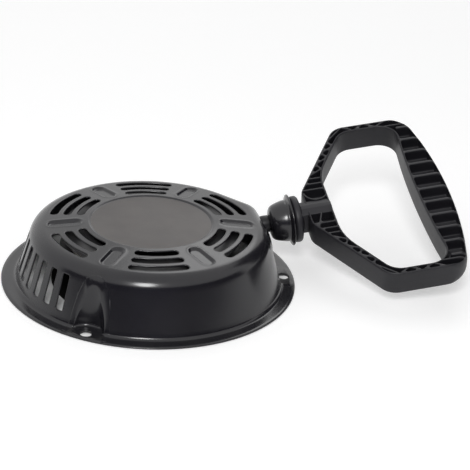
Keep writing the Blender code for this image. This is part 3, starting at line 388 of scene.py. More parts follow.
def joined(shapes):
    points, faces = [], []
    for more_points, more_faces in shapes:
        faces += [[i + len(points) for i in face] for face in more_faces]
        points += more_points
    return points, faces


def prism(outline, low, high):
    count = len(outline)
    points = [Vector((x, y, z)) for z in (low, high) for x, y in outline]
    return points, [list(range(count))[::-1], list(range(count, 2 * count))] + ring_faces(2, count)


def spin(angle):
    return Matrix.Rotation(angle, 4, "Z")


def cut(target, shapes):
    """Takes closed shapes away from the piece, and leaves nothing of the tool behind."""
    tool = made_piece("tool", *joined(shapes))
    step = target.modifiers.new("cut", "BOOLEAN")
    step.object = tool
    step.operation = "DIFFERENCE"
    step.use_self = False
    bpy.context.view_layer.update()
    seen = target.evaluated_get(bpy.context.evaluated_depsgraph_get())
    result = bpy.data.meshes.new_from_object(seen)
    target.modifiers.clear()
    target.data = result
    bpy.data.objects.remove(tool)
    result.name = target.name
    print(target.name, "now has", len(result.polygons), "faces")


# %% [markdown]
# ## The bowl
# The real bowl is pressed from 1.2 mm sheet: a flat flange, a wall that leans in, a wide soft
# shoulder, a top that falls a little outwards and a recessed disc for a label. Cutting one solid
# from another gives sharp edges, and a pressing has none. So the outer skin is made as a grid of
# rings and columns, each press mark moves the grid's points, and the inner skin follows one sheet
# thickness behind. Rings and columns stand closer together where the six dimples are.

# %% The bowl's sizes
SHEET = 1.2 * MM
FLANGE_RADIUS = 95.0 * MM
FLANGE_EDGE = 0.35 * MM
WALL_FOOT_RADIUS = 86.0 * MM
WALL_DRAFT = radians(16.5)
FOOT_FILLET = 3.0 * MM
SHOULDER_FILLET = 11.0 * MM
BOWL_HEIGHT = 41.2 * MM
TOP_FALL = radians(5.5)
DISC_RADIUS = 39.1 * MM
DISC_DEPTH = 0.8 * MM
DISC_SLOPE = 0.3 * MM
DISC_FILLET = 0.9 * MM
DISC_EDGE = 0.5 * MM
DIMPLES = 6
DIMPLE_MIDDLE = 55.25 * MM
DIMPLE_HALF = 6.55 * MM
DIMPLE_DEPTH = 1.3 * MM
DIMPLE_WIDTH, DIMPLE_SLOPE = 4.6 * MM, 1.6 * MM
LIP_PLACE, LIP_WIDTH, LIP_RISE = 5.2 * MM, 0.8 * MM, 0.14 * MM
FINE_RINGS = (42.0 * MM, 69.0 * MM)
FINE_RADII = np.arange(42.3, 68.9, 0.75) * MM
RING_SPACING = 2.2 * MM
LAST_RING = 0.4 * MM
TOP_STARTS = 33.0 * MM
SHOULDER_ENDS = 30.0 * MM
OUTLET_AZIMUTHS = (radians(7.0), radians(45.0))
OUTLET_POINT = Vector((75.837, 22.409, 28.2)) * MM
FLATS_FROM = 66.6 * MM
FLATS_RISE = 9.0 * MM
FLATS_CORNER = radians(5.0)


def wall_radius(height):
    return WALL_FOOT_RADIUS - (height - SHEET) * tan(WALL_DRAFT)


def top_height(radius):
    return BOWL_HEIGHT - (radius - DISC_RADIUS) * tan(TOP_FALL)


# %% The section
def bowl_section():
    """The outer skin's points (radius, height), from the flange's edge to the middle of the top."""
    meeting = wall_radius(top_height(0.0)) / (1.0 - tan(TOP_FALL) * tan(WALL_DRAFT))
    rim = DISC_RADIUS + DISC_DEPTH
    corners = [
        (FLANGE_RADIUS - FLANGE_EDGE, SHEET, 0.0),
        (WALL_FOOT_RADIUS, SHEET, FOOT_FILLET),
        (meeting, top_height(meeting), SHOULDER_FILLET),
        (rim + DISC_SLOPE, top_height(rim), DISC_FILLET),
        (DISC_RADIUS - DISC_SLOPE, BOWL_HEIGHT - DISC_DEPTH, DISC_FILLET),
        (LAST_RING, BOWL_HEIGHT - DISC_DEPTH, 0.0),
    ]
    plain = spaced(rounded(corners, closed=False, step=radians(7.5)), RING_SPACING)
    first, last = FINE_RINGS
    rings = [p for p in plain if not first < p[0] < last or p[1] < SHOULDER_ENDS]
    rings += [(radius, top_height(radius)) for radius in FINE_RADII]
    rings.sort(key=lambda p: (p[1] < SHOULDER_ENDS, p[0]))
    return rings[::-1]


# %% How press marks move the skin
def outlet_swell(azimuth, height):
    """The wall swells to two flats with a soft corner where the rope comes out."""
    first, last = OUTLET_AZIMUTHS
    a, b = azimuth - first, last - azimuth
    blend = np.clip(0.5 + 0.5 * (b - a) / FLATS_CORNER, 0.0, 1.0)
    to_flat = b * (1 - blend) + a * blend - FLATS_CORNER * blend * (1 - blend)
    to_flat = np.where((a > 0) & (b > 0), np.maximum(to_flat, 0.0), 0.0)
    return 1.0 + smooth_step((height - SHEET) / FLATS_RISE) * (1.0 / np.cos(to_flat) - 1.0)


def pressed(radius, azimuth, height):
    """Where a point of the plain turned bowl goes when it is pressed."""
    factor = np.where(radius > FLATS_FROM, outlet_swell(azimuth, height), 1.0)
    x, y = radius * factor * np.cos(azimuth), radius * factor * np.sin(azimuth)
    nearest = np.round(azimuth / (pi / 3)) * (pi / 3)
    along = np.abs(radius * np.cos(azimuth - nearest) - DIMPLE_MIDDLE) - DIMPLE_HALF
    away = np.hypot(np.maximum(along, 0.0), radius * np.sin(azimuth - nearest))
    on_top = (radius < FINE_RINGS[1]) & (height > TOP_STARTS)
    sink = smooth_step((DIMPLE_WIDTH - away) / DIMPLE_SLOPE) * DIMPLE_DEPTH
    rise = np.exp(-(((away - LIP_PLACE) / LIP_WIDTH) ** 2)) * LIP_RISE
    return np.stack([x, y, height + np.where(on_top, rise - sink, 0.0)], axis=-1)


# %% Turn the section into a grid
def bowl_columns():
    """Azimuths of the columns: half a degree apart on the dimples, and wider between them."""
    columns = []
    for k in range(DIMPLES):
        middle = k * pi / 3
        columns += [middle + radians(a) for a in np.arange(-7.0, 7.01, 0.5)]
        columns += [middle + radians(a) for a in np.linspace(7.0, 53.0, 32)[1:-1]]
    return np.array(columns)


section = np.array(bowl_section())
columns = bowl_columns()
radius_grid = np.repeat(section[:, :1], len(columns), axis=1)
height_grid = np.repeat(section[:, 1:], len(columns), axis=1)
azimuth_grid = np.repeat(((columns + pi) % (2 * pi) - pi)[None, :], len(section), axis=0)
outer_skin = pressed(radius_grid, azimuth_grid, height_grid)
down = np.gradient(outer_skin, axis=0)
around = np.roll(outer_skin, -1, axis=1) - np.roll(outer_skin, 1, axis=1)
normals = np.cross(around, down)
normals /= np.linalg.norm(normals, axis=2, keepdims=True)
normals *= np.sign(normals[-1, 0, 2])
inner_skin = outer_skin - normals * SHEET
print("bowl grid:", *outer_skin.shape[:2], "rings and columns")


# %% Join the two skins into one sheet
def bowl_shell():
    count = len(columns)
    edge = [pressed(np.full(count, FLANGE_RADIUS), azimuth_grid[0], np.full(count, height))
            for height in (FLANGE_EDGE, SHEET - FLANGE_EDGE)]
    rows = [*inner_skin[::-1], *edge, *outer_skin]
    faces = ring_faces(len(rows), count)
    faces.append(list(range(count)))
    faces.append([(len(rows) - 1) * count + i for i in range(count)])
    return [point for row in rows for point in row], faces


bowl = made_piece("bowl_shell", *bowl_shell(), sharp=60.0)
print("bowl has", len(bowl.data.polygons), "faces before it is cut")

# %% [markdown]
# ## Vents
# Each group in the top has three concentric slots, and the wall has a row of seven upright ones on
# the side away from the rope. Punched slots in painted sheet have a soft, slightly raised rim where
# the paint gathers. The slots are cut a little too wide, and a bead as thick as the sheet runs
# round each opening: its inner side is the slot's true edge.

# %% Outlines of the slots
SLOT_WIDTH = 5.2 * MM
SLOT_ROWS = [(46.0 + 8.7 * i) * MM for i in range(3)]
SLOT_SPAN = radians(17.0)
WALL_SLOT_LOW, WALL_SLOT_HIGH = 8.0 * MM, 30.0 * MM
WALL_SLOT_CORNER = 0.9 * MM
WALL_SLOT_STEP = radians(8.0)
BEAD_RADIUS = 0.66 * MM
BEAD_SIDES = 10
BEAD_SPACING = 1.6 * MM
TOP_CUT = (TOP_STARTS, 44.0 * MM)
WALL_CUT = (70.0 * MM, 92.0 * MM)


def top_slot(radius, middle):
    """A slot that follows a circle, as wide as the bead's middle line, with round ends."""
    half = SLOT_SPAN - SLOT_WIDTH / 2 / radius
    width = SLOT_WIDTH / 2 + BEAD_RADIUS
    path = arc((0.0, 0.0), radius, middle - half, middle + half, radians(2.5))
    far_end = arc(path[-1], width, middle + half, middle + half + pi, pi / 8)[1:-1]
    near_end = arc(path[0], width, middle - half + pi, middle - half + 2 * pi, pi / 8)[1:-1]
    inner = shifted(path, -width, closed=False)[::-1]
    return shifted(path, width, closed=False) + far_end + inner + near_end


def wall_slot():
    """An upright slot, as wide as the bead's middle line: (sideways, height)."""
    half = SLOT_WIDTH / 2 + BEAD_RADIUS
    low, high = WALL_SLOT_LOW - BEAD_RADIUS, WALL_SLOT_HIGH + BEAD_RADIUS
    corner = WALL_SLOT_CORNER + BEAD_RADIUS
    corners = [(half, low, corner), (half, high, corner), (-half, high, corner), (-half, low, corner)]
    return spaced(rounded(corners, step=pi / 10), BEAD_SPACING, closed=True)


slot_angles = [pi / 6 + k * pi / 3 for k in range(6)]
wall_angles = [pi + WALL_SLOT_STEP * (i - 0.5) for i in range(7)]
print("slots:", len(slot_angles) * len(SLOT_ROWS), "in the top and", len(wall_angles), "in the wall")


# %% Beads round the slots
def bead(path, outward, upward):
    """A closed round bead along points in space, on a sheet that faces outward and upward."""
    points = []
    for i, point in enumerate(path):
        along = (path[(i + 1) % len(path)] - path[i - 1]).normalized()
        level = Vector((point.x, point.y, 0.0)).normalized() * outward
        normal = Vector((level.x, level.y, upward))
        across = along.cross(normal).normalized()
        for x, y in circle(1.0, BEAD_SIDES):
            points.append(point + (across * x + normal * y) * BEAD_RADIUS)
    return points, ring_faces(len(path), BEAD_SIDES, closed=True)


def on_wall(azimuth, sideways, height):
    radius = wall_radius(height) - SHEET / 2 / cos(WALL_DRAFT)
    return spin(azimuth) @ Vector((sqrt(radius**2 - sideways**2), sideways, height))


beads, cutters = [], []
for middle in slot_angles:
    for radius in SLOT_ROWS:
        outline = top_slot(radius, middle)
        path = [Vector((x, y, top_height(hypot(x, y)) - SHEET / 2 / cos(TOP_FALL))) for x, y in outline]
        beads.append(bead(path, sin(TOP_FALL), cos(TOP_FALL)))
        cutters.append(prism(outline, *TOP_CUT))
for azimuth in wall_angles:
    beads.append(bead([on_wall(azimuth, x, z) for x, z in wall_slot()], cos(WALL_DRAFT), sin(WALL_DRAFT)))
    upright = placed(prism(wall_slot(), *WALL_CUT), Matrix.Rotation(pi / 2, 4, "X"))
    cutters.append(placed(upright, spin(azimuth + pi / 2)))
vent_beads = made_piece("vent_beads", *joined(beads), sharp=180.0)
print("beads have", len(vent_beads.data.polygons), "faces")

# %% [markdown]
# ## Bolt pockets
# Three screws hold the bowl to the engine. Above each hole the wall is pressed in to let the screw
# head and the spanner pass: a half-round pocket, rounded where it meets the wall and at its foot.
# Each pocket is a fan of sections round the hole's own axis. Every section runs from the rim of
# the hole over the pad, round the foot, up the side, and ends tangent to the bowl's skin.

# %% Sizes of a pocket
BOLT_CIRCLE = 88.5 * MM
HOLE_RADIUS = 3.5 * MM
POCKET_RADIUS = 11.5 * MM
POCKET_SHIFT = 1.1 * MM
FOOT_BEND = 2.0 * MM
MOUTH_BEND = 3.0 * MM
LAP, LAP_RISE = 0.35 * MM, 0.008 * MM
PAD_HEIGHT = SHEET + 0.2 * MM
PAD_REACH = 92.6 * MM
POCKET_LINES = 108
EDGE_SINK = 0.05 * MM
POCKET_SHEET = SHEET - 0.1 * MM


def skin_height(radius):
    """The plain bowl's outer height at a distance from its axis."""
    return float(np.interp(radius, section[::-1, 0], section[::-1, 1]))


def pocket_wall(turn):
    """How far the pocket's side is from the hole; its circle is set towards the flange's edge."""
    return POCKET_SHIFT * cos(turn) + sqrt(POCKET_RADIUS**2 - (POCKET_SHIFT * sin(turn)) ** 2)


# %% Shape one pocket
def mouth_bend(side, top, reach, corner, end):
    """A soft bend from the pocket's side, past the corner, to the bowl's skin."""
    bend = []
    for s in np.linspace(0.0, 1.0, 8):
        a, b, c = (1 - s) ** 2, 2 * s * (1 - s), s * s
        bend.append((side * (a + b) + reach * c, top * a + corner * b + end * c))
    return bend


def pocket_section(bolt, azimuth, angle):
    """One line of points from the hole to the bowl's skin, in the direction of the angle."""
    direction = Vector((cos(angle), sin(angle), 0.0))
    side = pocket_wall(angle - azimuth)
    reach = side + MOUTH_BEND

    def height_at(distance):
        return skin_height((bolt + direction * distance).length)

    end = height_at(reach)
    slope = (end - height_at(reach - 0.2 * MM)) / (0.2 * MM)
    corner = end - MOUTH_BEND * slope
    free = max(0.0, corner - PAD_HEIGHT)
    foot = min(FOOT_BEND, free / 2)
    foot_top = PAD_HEIGHT + foot
    top = max(corner - min(MOUTH_BEND * 1.3, free / 2), foot_top)
    rim = [(0.0, -0.9), (0.0, -0.5), (0.15, -0.15), (0.5, 0.0)]
    line = [(HOLE_RADIUS + out * MM, PAD_HEIGHT + up * MM) for out, up in rim]
    line += [(HOLE_RADIUS + (side - foot - HOLE_RADIUS) * s, PAD_HEIGHT) for s in (0.2, 0.4, 0.6, 0.8)]
    line += arc((side - foot, foot_top), foot, -pi / 2, 0.0, pi / 12)
    line += [(side, foot_top + (top - foot_top) * s) for s in (0.17, 0.33, 0.5, 0.67, 0.83)]
    line += mouth_bend(side, top, reach, max(corner, PAD_HEIGHT), end + LAP_RISE)
    reach += LAP
    line.append((reach, height_at(reach) + LAP_RISE / 2))
    limit = reach
    while (bolt + direction * limit).length > PAD_REACH:
        limit -= 0.1 * MM
    if limit < reach:
        shrink = (limit - HOLE_RADIUS) / (reach - HOLE_RADIUS)
        line = [(HOLE_RADIUS + (d - HOLE_RADIUS) * shrink, min(z, PAD_HEIGHT)) for d, z in line]
        line[-1] = (line[-1][0], SHEET - EDGE_SINK)
    return [bolt + direction * d + Vector((0.0, 0.0, z)) for d, z in line]


def pocket_form(azimuth):
    bolt = spin(azimuth) @ Vector((BOLT_CIRCLE, 0.0, 0.0))
    lines = [pocket_section(bolt, azimuth, 2 * pi * k / POCKET_LINES) for k in range(POCKET_LINES)]
    rows = len(lines[0])
    return [line[r] for r in range(rows) for line in lines], ring_faces(rows, POCKET_LINES)


bolt_angles = [2 * pi * k / 3 for k in range(3)]
pockets = made_piece("bolt_pockets", *joined([pocket_form(a) for a in bolt_angles]), sharp=60.0)
thick = pockets.modifiers.new("sheet", "SOLIDIFY")
thick.thickness = POCKET_SHEET
thick.offset = -1.0
print("pockets have", len(pockets.data.polygons), "faces")

# %% Cut the bowl for the slots, the pockets, the screws and the rope
OUTLET_HOLE = 5.9 * MM
SCREW_HOLE = HOLE_RADIUS + 0.02 * MM
HOLE_SIDES = 48
ABOVE_FLANGE = (SHEET - 0.03 * MM, 50.0 * MM)
THROUGH_FLANGE = (-2.0 * MM, 4.0 * MM)
THROUGH_WALL = (-5.0 * MM, 5.0 * MM)
holes = []
for azimuth in bolt_angles:
    bolt = Matrix.Translation((BOLT_CIRCLE * cos(azimuth), BOLT_CIRCLE * sin(azimuth), 0.0))
    rim = []
    for angle in 2 * pi * np.arange(POCKET_LINES) / POCKET_LINES:
        reach = pocket_wall(angle - azimuth) + MOUTH_BEND
        rim.append((reach * cos(angle), reach * sin(angle)))
    cutters.append(placed(prism(rim, *ABOVE_FLANGE), bolt))
    holes.append(placed(prism(circle(SCREW_HOLE, HOLE_SIDES), *THROUGH_FLANGE), bolt))
outlet = spin(OUTLET_AZIMUTHS[0])
outlet.translation = OUTLET_POINT
outlet = outlet @ Matrix.Rotation(-WALL_DRAFT, 4, "Y")
x_up = Matrix.Rotation(pi / 2, 4, "Y")
cutters.append(placed(prism(circle(OUTLET_HOLE, HOLE_SIDES), *THROUGH_WALL), outlet @ x_up))
cut(bowl, cutters)
cut(bowl, holes)
bowl.data.set_sharp_from_angle(angle=radians(60.0))

# %% [markdown]
# ## The pull axis
# Bushing, bell, rope and handle share one line: the direction in which the rope is pulled. It
# rises a little, and the handle is rolled about it, because in the photograph it lies on one edge.
# These pieces are drawn with X along the line and are then placed by one matrix.

# %% Frame of the pull axis
LIP_X = 18.6 * MM
PULL_SWING, PULL_RISE, HANDLE_ROLL = radians(4.5), radians(8.2), radians(16.7)
pull_axis = spin(PULL_SWING) @ Matrix.Rotation(-PULL_RISE, 4, "Y") @ Matrix.Rotation(HANDLE_ROLL, 4, "X")
pull_axis.translation = OUTLET_POINT
handle_place = pull_axis @ Matrix.Translation((LIP_X, 0.0, 0.0))


def turned_along(section, count, place):
    """A closed section in millimetres, turned about the X axis of its place."""
    return placed(turned(in_metres(section), count), place @ x_up)


print("the pull axis points to", tuple(round(v, 3) for v in pull_axis.col[0][:3]))

# %% [markdown]
# ## Bushing and bell
# The bushing is a plastic collar in the wall with a short snout. The bell is soft rubber: a dome
# with a thin lip at its wide end, where it meets the handle. Rubber has no sharp corner, so the
# section is a soft line through a few radii, and the step before the lip is a shallow groove.

# %% Turn the bushing and the bell
collar_section = [
    (5.3, -3.9), (6.4, -3.9), (6.85, -3.75), (7.0, -3.3), (7.0, -3.2), (5.6, -1.8),
    (5.6, 0.8), (5.3, 1.1), (3.4, 1.1), (3.3, 0.0), (3.9, -1.9), (4.7, -3.2)]
snout_section = [
    (3.3, -1.0), (5.6, -1.0), (5.75, 0.4), (5.7, 3.4), (5.6, 3.85), (5.3, 4.1),
    (4.4, 4.16), (3.6, 3.9), (3.3, 3.3)]
bell_section = [
    (2.35, -13.4), (2.6, -14.2), (5.6, -14.3), (5.9, -14.2), (6.2, -13.95), (7.2, -13.8),
    (8.4, -13.6), (9.5, -13.2), (10.5, -12.6), (11.3, -11.7), (11.9, -10.5), (12.4, -9.1),
    (12.9, -7.5), (13.35, -5.8), (13.7, -4.2), (13.85, -2.8), (13.75, -2.2), (13.9, -1.8),
    (14.8, -1.35), (16.2, -0.9), (16.9, -0.55), (17.1, -0.1), (17.0, 0.25), (16.6, 0.45),
    (14.0, 0.62), (11.0, 0.68), (2.6, 0.68), (2.35, 0.3)]
collar = turned_along(collar_section, 64, outlet)
snout = turned_along(snout_section, 64, pull_axis)
guide = made_piece("rope_bushing", *joined([collar, snout]))
bell = made_piece("stopper_bell", *turned_along(bell_section, 96, handle_place), sharp=55.0)
print("bushing has", len(guide.data.polygons), "faces, the bell", len(bell.data.polygons))

# %% [markdown]
# ## The handle's layout
# The handle is one moulding: a thin web in the middle plane, and on both faces a rim round the
# outer edge, a rim round the hand opening, and ribs between them. What one sees are the pockets
# between the ribs. So the ribs and rims are drawn as strips, the plane is split along all their
# edges, and the patches that no strip covers become the pockets.

# %% The handle's sizes
HALF_THICKNESS = 8.8 * MM
HALF_WIDTH = 74.3 * MM
CORNER_X = 47.7 * MM
GRIP_X = 108.9 * MM
GRIP_WIDTH = 22.6 * MM
GRIP_BOW = 300.0 * MM
INNER_BOW = 600.0 * MM
NECK_X = 11.0 * MM
NECK_HALF = 15.57 * MM
NECK_FLAT = 4.0 * MM
BOSS_END = 28.0 * MM
BOSS_RADIUS = 6.4 * MM
ARM_WIDTH = 6.5 * MM
SHORT_SIDE = 5.7 * MM
RIM = 1.25 * MM
ARM_RIB = 1.05 * MM
GRIP_RIB = 1.9 * MM
WEB = 1.4 * MM
CORNER_FILLET = 13.0 * MM
OUTER_FILLET = 14.0 * MM
NECK_FILLET = 11.0 * MM
GRIP_ROUNDING = 6.5 * MM
GRIP_FLATNESS = 0.8
CURVE_STEP = radians(7.5)
EDGE_SPACING = 2.5 * MM
arm_slope = atan2(HALF_WIDTH - NECK_HALF, CORNER_X - NECK_X)


def grip_x(across):
    return GRIP_X - across**2 / (2 * GRIP_BOW)


def grip_inner_x(across):
    return GRIP_X - GRIP_WIDTH + across**2 / (2 * INNER_BOW)


def arm_x(across):
    return CORNER_X - (HALF_WIDTH - across) / tan(arm_slope)


def arm_inner_x(across):
    return arm_x(across) + ARM_WIDTH / sin(arm_slope)


# %% Outer edge and hand opening
def both_halves(half):
    return half + [(x, -y, r) for x, y, r in reversed(half) if y > 1e-6]


def outer_edge():
    half = [(grip_x(y), y, 0.0) for y in np.linspace(0.0, 0.66, 12) * HALF_WIDTH]
    half += [(grip_x(HALF_WIDTH), HALF_WIDTH, OUTER_FILLET), (CORNER_X, HALF_WIDTH, CORNER_FILLET)]
    half += [(NECK_X, NECK_HALF, NECK_FILLET), (NECK_X, NECK_FLAT, 0.0)]
    return rounded(both_halves(half), step=CURVE_STEP)


def hand_opening():
    side = HALF_WIDTH - SHORT_SIDE
    bend = side - (arm_inner_x(side) - BOSS_END) * tan(arm_slope)
    half = [(grip_inner_x(y), y, 0.0) for y in np.linspace(0.0, 0.6, 10) * side]
    half += [(grip_inner_x(side), side, CORNER_FILLET), (arm_inner_x(side), side, CORNER_FILLET)]
    half += [(BOSS_END, bend, 3 * CORNER_FILLET)]
    return rounded(both_halves(half), step=CURVE_STEP)


upper = [(y, x) for x, y in outer_edge() if y >= 0.0 and x > grip_inner_x(HALF_WIDTH)]
grip_side = list(zip(*sorted(upper, key=lambda p: (p[0], -p[1]))))


def crowned(point):
    """The grip's outer side is round: near it, every height shrinks to follow the crown."""
    depth = np.interp(abs(point.y), *grip_side) - point.x
    if depth >= GRIP_FLATNESS * GRIP_ROUNDING:
        return point
    over = GRIP_ROUNDING - max(0.0, depth) / GRIP_FLATNESS
    face = HALF_THICKNESS - GRIP_ROUNDING + sqrt(GRIP_ROUNDING**2 - over**2)
    return Vector((point.x, point.y, point.z * face / HALF_THICKNESS))


print("arms lean at", round(arm_slope * 180 / pi, 1), "degrees; the grip's side has", len(upper), "points")

# %% Where the ribs lie
HOOP_RADIUS = 8.0 * MM
HOOP_SHIFT = 1.0 * MM
STRAIGHT_RIBS = (16.5 * MM, 22.0 * MM, 27.0 * MM)
ZIGZAG_START = 30.0 * MM
ARM_BENDS, SIDE_BENDS = 7, 5
SIDE_MARGIN = 6.0 * MM
SLANTING_RIB = [(20.0 * MM, -6.0 * MM), (14.6 * MM, -21.0 * MM)]
GRIP_RIBS = 11
GRIP_RIB_STEP = 12.9 * MM


def strip(path, width):
    return shifted(path, width / 2, closed=False) + shifted(path, -width / 2, closed=False)[::-1]


def zigzag():
    """The bends of the ribs that go to and fro along an arm and the short side."""
    rim = RIM / 2
    slanted = rim / sin(arm_slope)
    last = HALF_WIDTH - CORNER_FILLET
    bends = []
    for i in range(ARM_BENDS):
        across = ZIGZAG_START + (last - ZIGZAG_START) * i / (ARM_BENDS - 1)
        at_edge, at_opening = arm_x(across) + slanted, arm_inner_x(across) - slanted
        bends.append((at_opening if i % 2 else at_edge, across))
    start, end = CORNER_X + SIDE_MARGIN, grip_inner_x(HALF_WIDTH) - SIDE_MARGIN
    for i in range(SIDE_BENDS):
        across = HALF_WIDTH - SHORT_SIDE + rim if i % 2 else HALF_WIDTH - rim
        bends.append((start + (end - start) * i / (SIDE_BENDS - 1), across))
    return bends


def rib_paths():
    """Ribs of one half: a hoop beside the boss, straight ones, the zigzag, and one by the grip."""
    rim = RIM / 2
    centre = ((NECK_X + BOSS_END) / 2 + HOOP_SHIFT, BOSS_RADIUS + HOOP_RADIUS)
    paths = [arc(centre, HOOP_RADIUS, -pi * 0.97, -pi * 0.03, radians(12.0))]
    for across in STRAIGHT_RIBS:
        paths.append([(arm_x(across) + rim, across), (max(BOSS_END, arm_inner_x(across)) - rim, across)])
    bends = zigzag()
    paths += [[a, b] for a, b in zip(bends, bends[1:])]
    by_grip = HALF_WIDTH - SHORT_SIDE - rim
    paths.append([(grip_inner_x(HALF_WIDTH) - CORNER_FILLET, by_grip), (grip_x(HALF_WIDTH), by_grip)])
    return paths


def rib_strips():
    """All ribs of a face. The hoop is on one side of the boss, and a slanting rib on the other."""
    strips = [strip(path, ARM_RIB) for path in rib_paths()]
    strips += [[(x, -y) for x, y in outline][::-1] for outline in strips[1:]]
    strips.append(strip(SLANTING_RIB, ARM_RIB))
    for i in range(GRIP_RIBS):
        across = GRIP_RIB_STEP * (i - GRIP_RIBS // 2)
        path = [(grip_inner_x(across) + RIM / 2, across), (grip_x(across) + RIM, across)]
        strips.append(strip(path, GRIP_RIB))
    return strips


print("the handle has", len(rib_strips()), "ribs on each face")


# %% Find the pockets between the ribs
def cleaned(loop, gap=0.05 * MM):
    """Leaves out points on straight stretches and points that almost coincide."""
    loop = [p for i, p in enumerate(loop) if hypot(p[0] - loop[i - 1][0], p[1] - loop[i - 1][1]) > gap]
    kept = []
    for i, point in enumerate(loop):
        before, after = Vector(loop[i - 1]), Vector(loop[(i + 1) % len(loop)])
        here = Vector(point)
        if abs((here - before).normalized().cross((after - here).normalized())) > 0.012:
            kept.append(point)
    return kept


def pocket_loops():
    """The borders of the patches that no rim and no rib covers."""
    shapes = [shifted(outer_edge(), -RIM), shifted(hand_opening(), RIM)] + rib_strips()
    coords, ids = [], []
    for shape in shapes:
        ids.append(list(range(len(coords), len(coords) + len(shape))))
        coords += [Vector(p) for p in shape]
    found = delaunay_2d_cdt(coords, [], ids, 1, 1e-6)
    corners, triangles, inside = found[0], found[2], found[5]
    open_cells = [t for t, within in zip(triangles, inside) if set(within) == {0}]
    sides = dict.fromkeys((a, b) for t in open_cells for a, b in zip(t, t[1:] + t[:1]))
    border = {a: [] for a, _ in sides}
    for a, b in sides:
        if (b, a) not in sides:
            border[a].append(b)
    loops = []
    for start in border:
        while border[start]:
            loop, here = [start], border[start].pop()
            while here != start:
                loop.append(here)
                here = border[here].pop()
            loops.append([tuple(corners[i]) for i in loop])
    return loops


def area_of(loop):
    return 0.5 * sum(a[0] * b[1] - b[0] * a[1] for a, b in zip(loop, loop[1:] + loop[:1]))


# %% Round the pockets' corners
SMALLEST_POCKET = 4.0 * MM**2
POCKET_CORNER = 1.9 * MM
POCKET_SPACING = 1.4 * MM
SOFT_BEND = radians(22.0)


def softened(loop):
    """The outline with an arc at each corner that isn't just a step of a curve."""
    corners = []
    for i, (x, y) in enumerate(loop):
        before, here, after = Vector(loop[i - 1]), Vector((x, y)), Vector(loop[(i + 1) % len(loop)])
        bend = abs((here - before).angle(after - here))
        corners.append((x, y, POCKET_CORNER if bend > SOFT_BEND else 0.0))
    return spaced(rounded(corners, step=radians(18.0)), POCKET_SPACING, closed=True)


pocket_outlines = []
for loop in map(cleaned, pocket_loops()):
    if len(loop) > 2 and abs(area_of(loop)) >= SMALLEST_POCKET:
        pocket_outlines.append(softened(loop if area_of(loop) > 0 else loop[::-1]))
print("pockets on each face:", len(pocket_outlines))

# %% [markdown]
# ## Moulding the handle
# The outer wall and the wall of the hand opening are lofted through levels: the edges are round,
# both halves lean a little towards the parting line in the middle, as a part must to leave its
# mould, and the grip side rounds over generously. Each pocket is a lofted recess with a soft lip,
# leaning sides and a rounded foot. The two faces are then filled between all these outlines.

# %% Levels of the walls and of the pockets, in millimetres
WALL_LEVELS = [
    (0.0, 0.0), (0.1, 0.0), (0.15, 0.02), (0.22, 0.021), (0.4, 0.022), (2.3, 0.03), (3.6, 0.04),
    (5.0, 0.05), (6.2, 0.07), (7.2, 0.1), (7.8, 0.13)]
POCKET_LEVELS = [
    (0.0, -0.2), (0.06, -0.06), (0.22, 0.0), (1.6, 0.06), (3.2, 0.12), (4.8, 0.18), (6.2, 0.26),
    (7.0, 0.4), (7.45, 0.65), (7.7, 1.05)]


def wall_levels():
    """(height, inset) from the lower face to the upper one, with a fine seam at the parting line."""
    top, inset = WALL_LEVELS[-1]
    edge = [(top + sin(a), inset + 1.0 - cos(a)) for a in np.radians((18, 36, 54, 72, 90))]
    upper = in_metres(WALL_LEVELS + edge)
    return [(-z, d) for z, d in reversed(upper)] + upper[1:]


# %% Loft the walls and the pockets, and fill the faces
def lofted(points, faces, outline, levels):
    """Adds the outline at each level (height, inset), joins the rings, and returns them."""
    rings = []
    for height, inset in levels:
        rings.append(list(range(len(points), len(points) + len(outline))))
        points += [Vector((x, y, height)) for x, y in shifted(outline, -inset)]
    for a, b in zip(rings, rings[1:]):
        for i in range(len(outline)):
            j = (i + 1) % len(outline)
            faces.append((a[i], a[j], b[j], b[i]))
    return rings


def filled(points, borders):
    """Triangles between the outer border and all the others, which are holes."""
    order = [i for ring in borders for i in ring]
    ids, first = [], 0
    for ring in borders:
        ids.append(list(range(first, first + len(ring))))
        first += len(ring)
    found = delaunay_2d_cdt([Vector(points[i][:2]) for i in order], [], ids, 1, 1e-7)
    back = {new: order[old[0]] for new, old in enumerate(found[3]) if old}
    return [tuple(back[i] for i in triangle) for triangle, within in zip(found[2], found[5])
            if set(within) == {0} and all(i in back for i in triangle)]


def moulded_handle():
    points, faces = [], []
    borders = {1: [], -1: []}
    for outward, outline in ((1, spaced(outer_edge(), EDGE_SPACING, closed=True)), (-1, hand_opening())):
        rings = lofted(points, faces, outline, [(z, d * outward) for z, d in wall_levels()])
        borders[1].append(rings[-1])
        borders[-1].append(rings[0])
    for side in borders:
        levels = [(side * max(HALF_THICKNESS - depth, WEB / 2), d) for depth, d in in_metres(POCKET_LEVELS)]
        for outline in pocket_outlines:
            rings = lofted(points, faces, outline, levels)
            faces.append(tuple(rings[-1]))
            borders[side].append(rings[0])
        faces += filled(points, borders[side])
    return [crowned(p) for p in points], faces


handle = made_piece("d_handle", *placed(moulded_handle(), handle_place), sharp=180.0)
print("handle has", len(handle.data.polygons), "faces")

# %% [markdown]
# ## Boss of the handle
# A boss carries the rope through the handle's neck: a wide round foot against the bell, and from
# there to the hand opening a block as thick as the handle, with a slightly crowned face. The knot
# sits in a deeper hole in it, which opens into the hand opening.

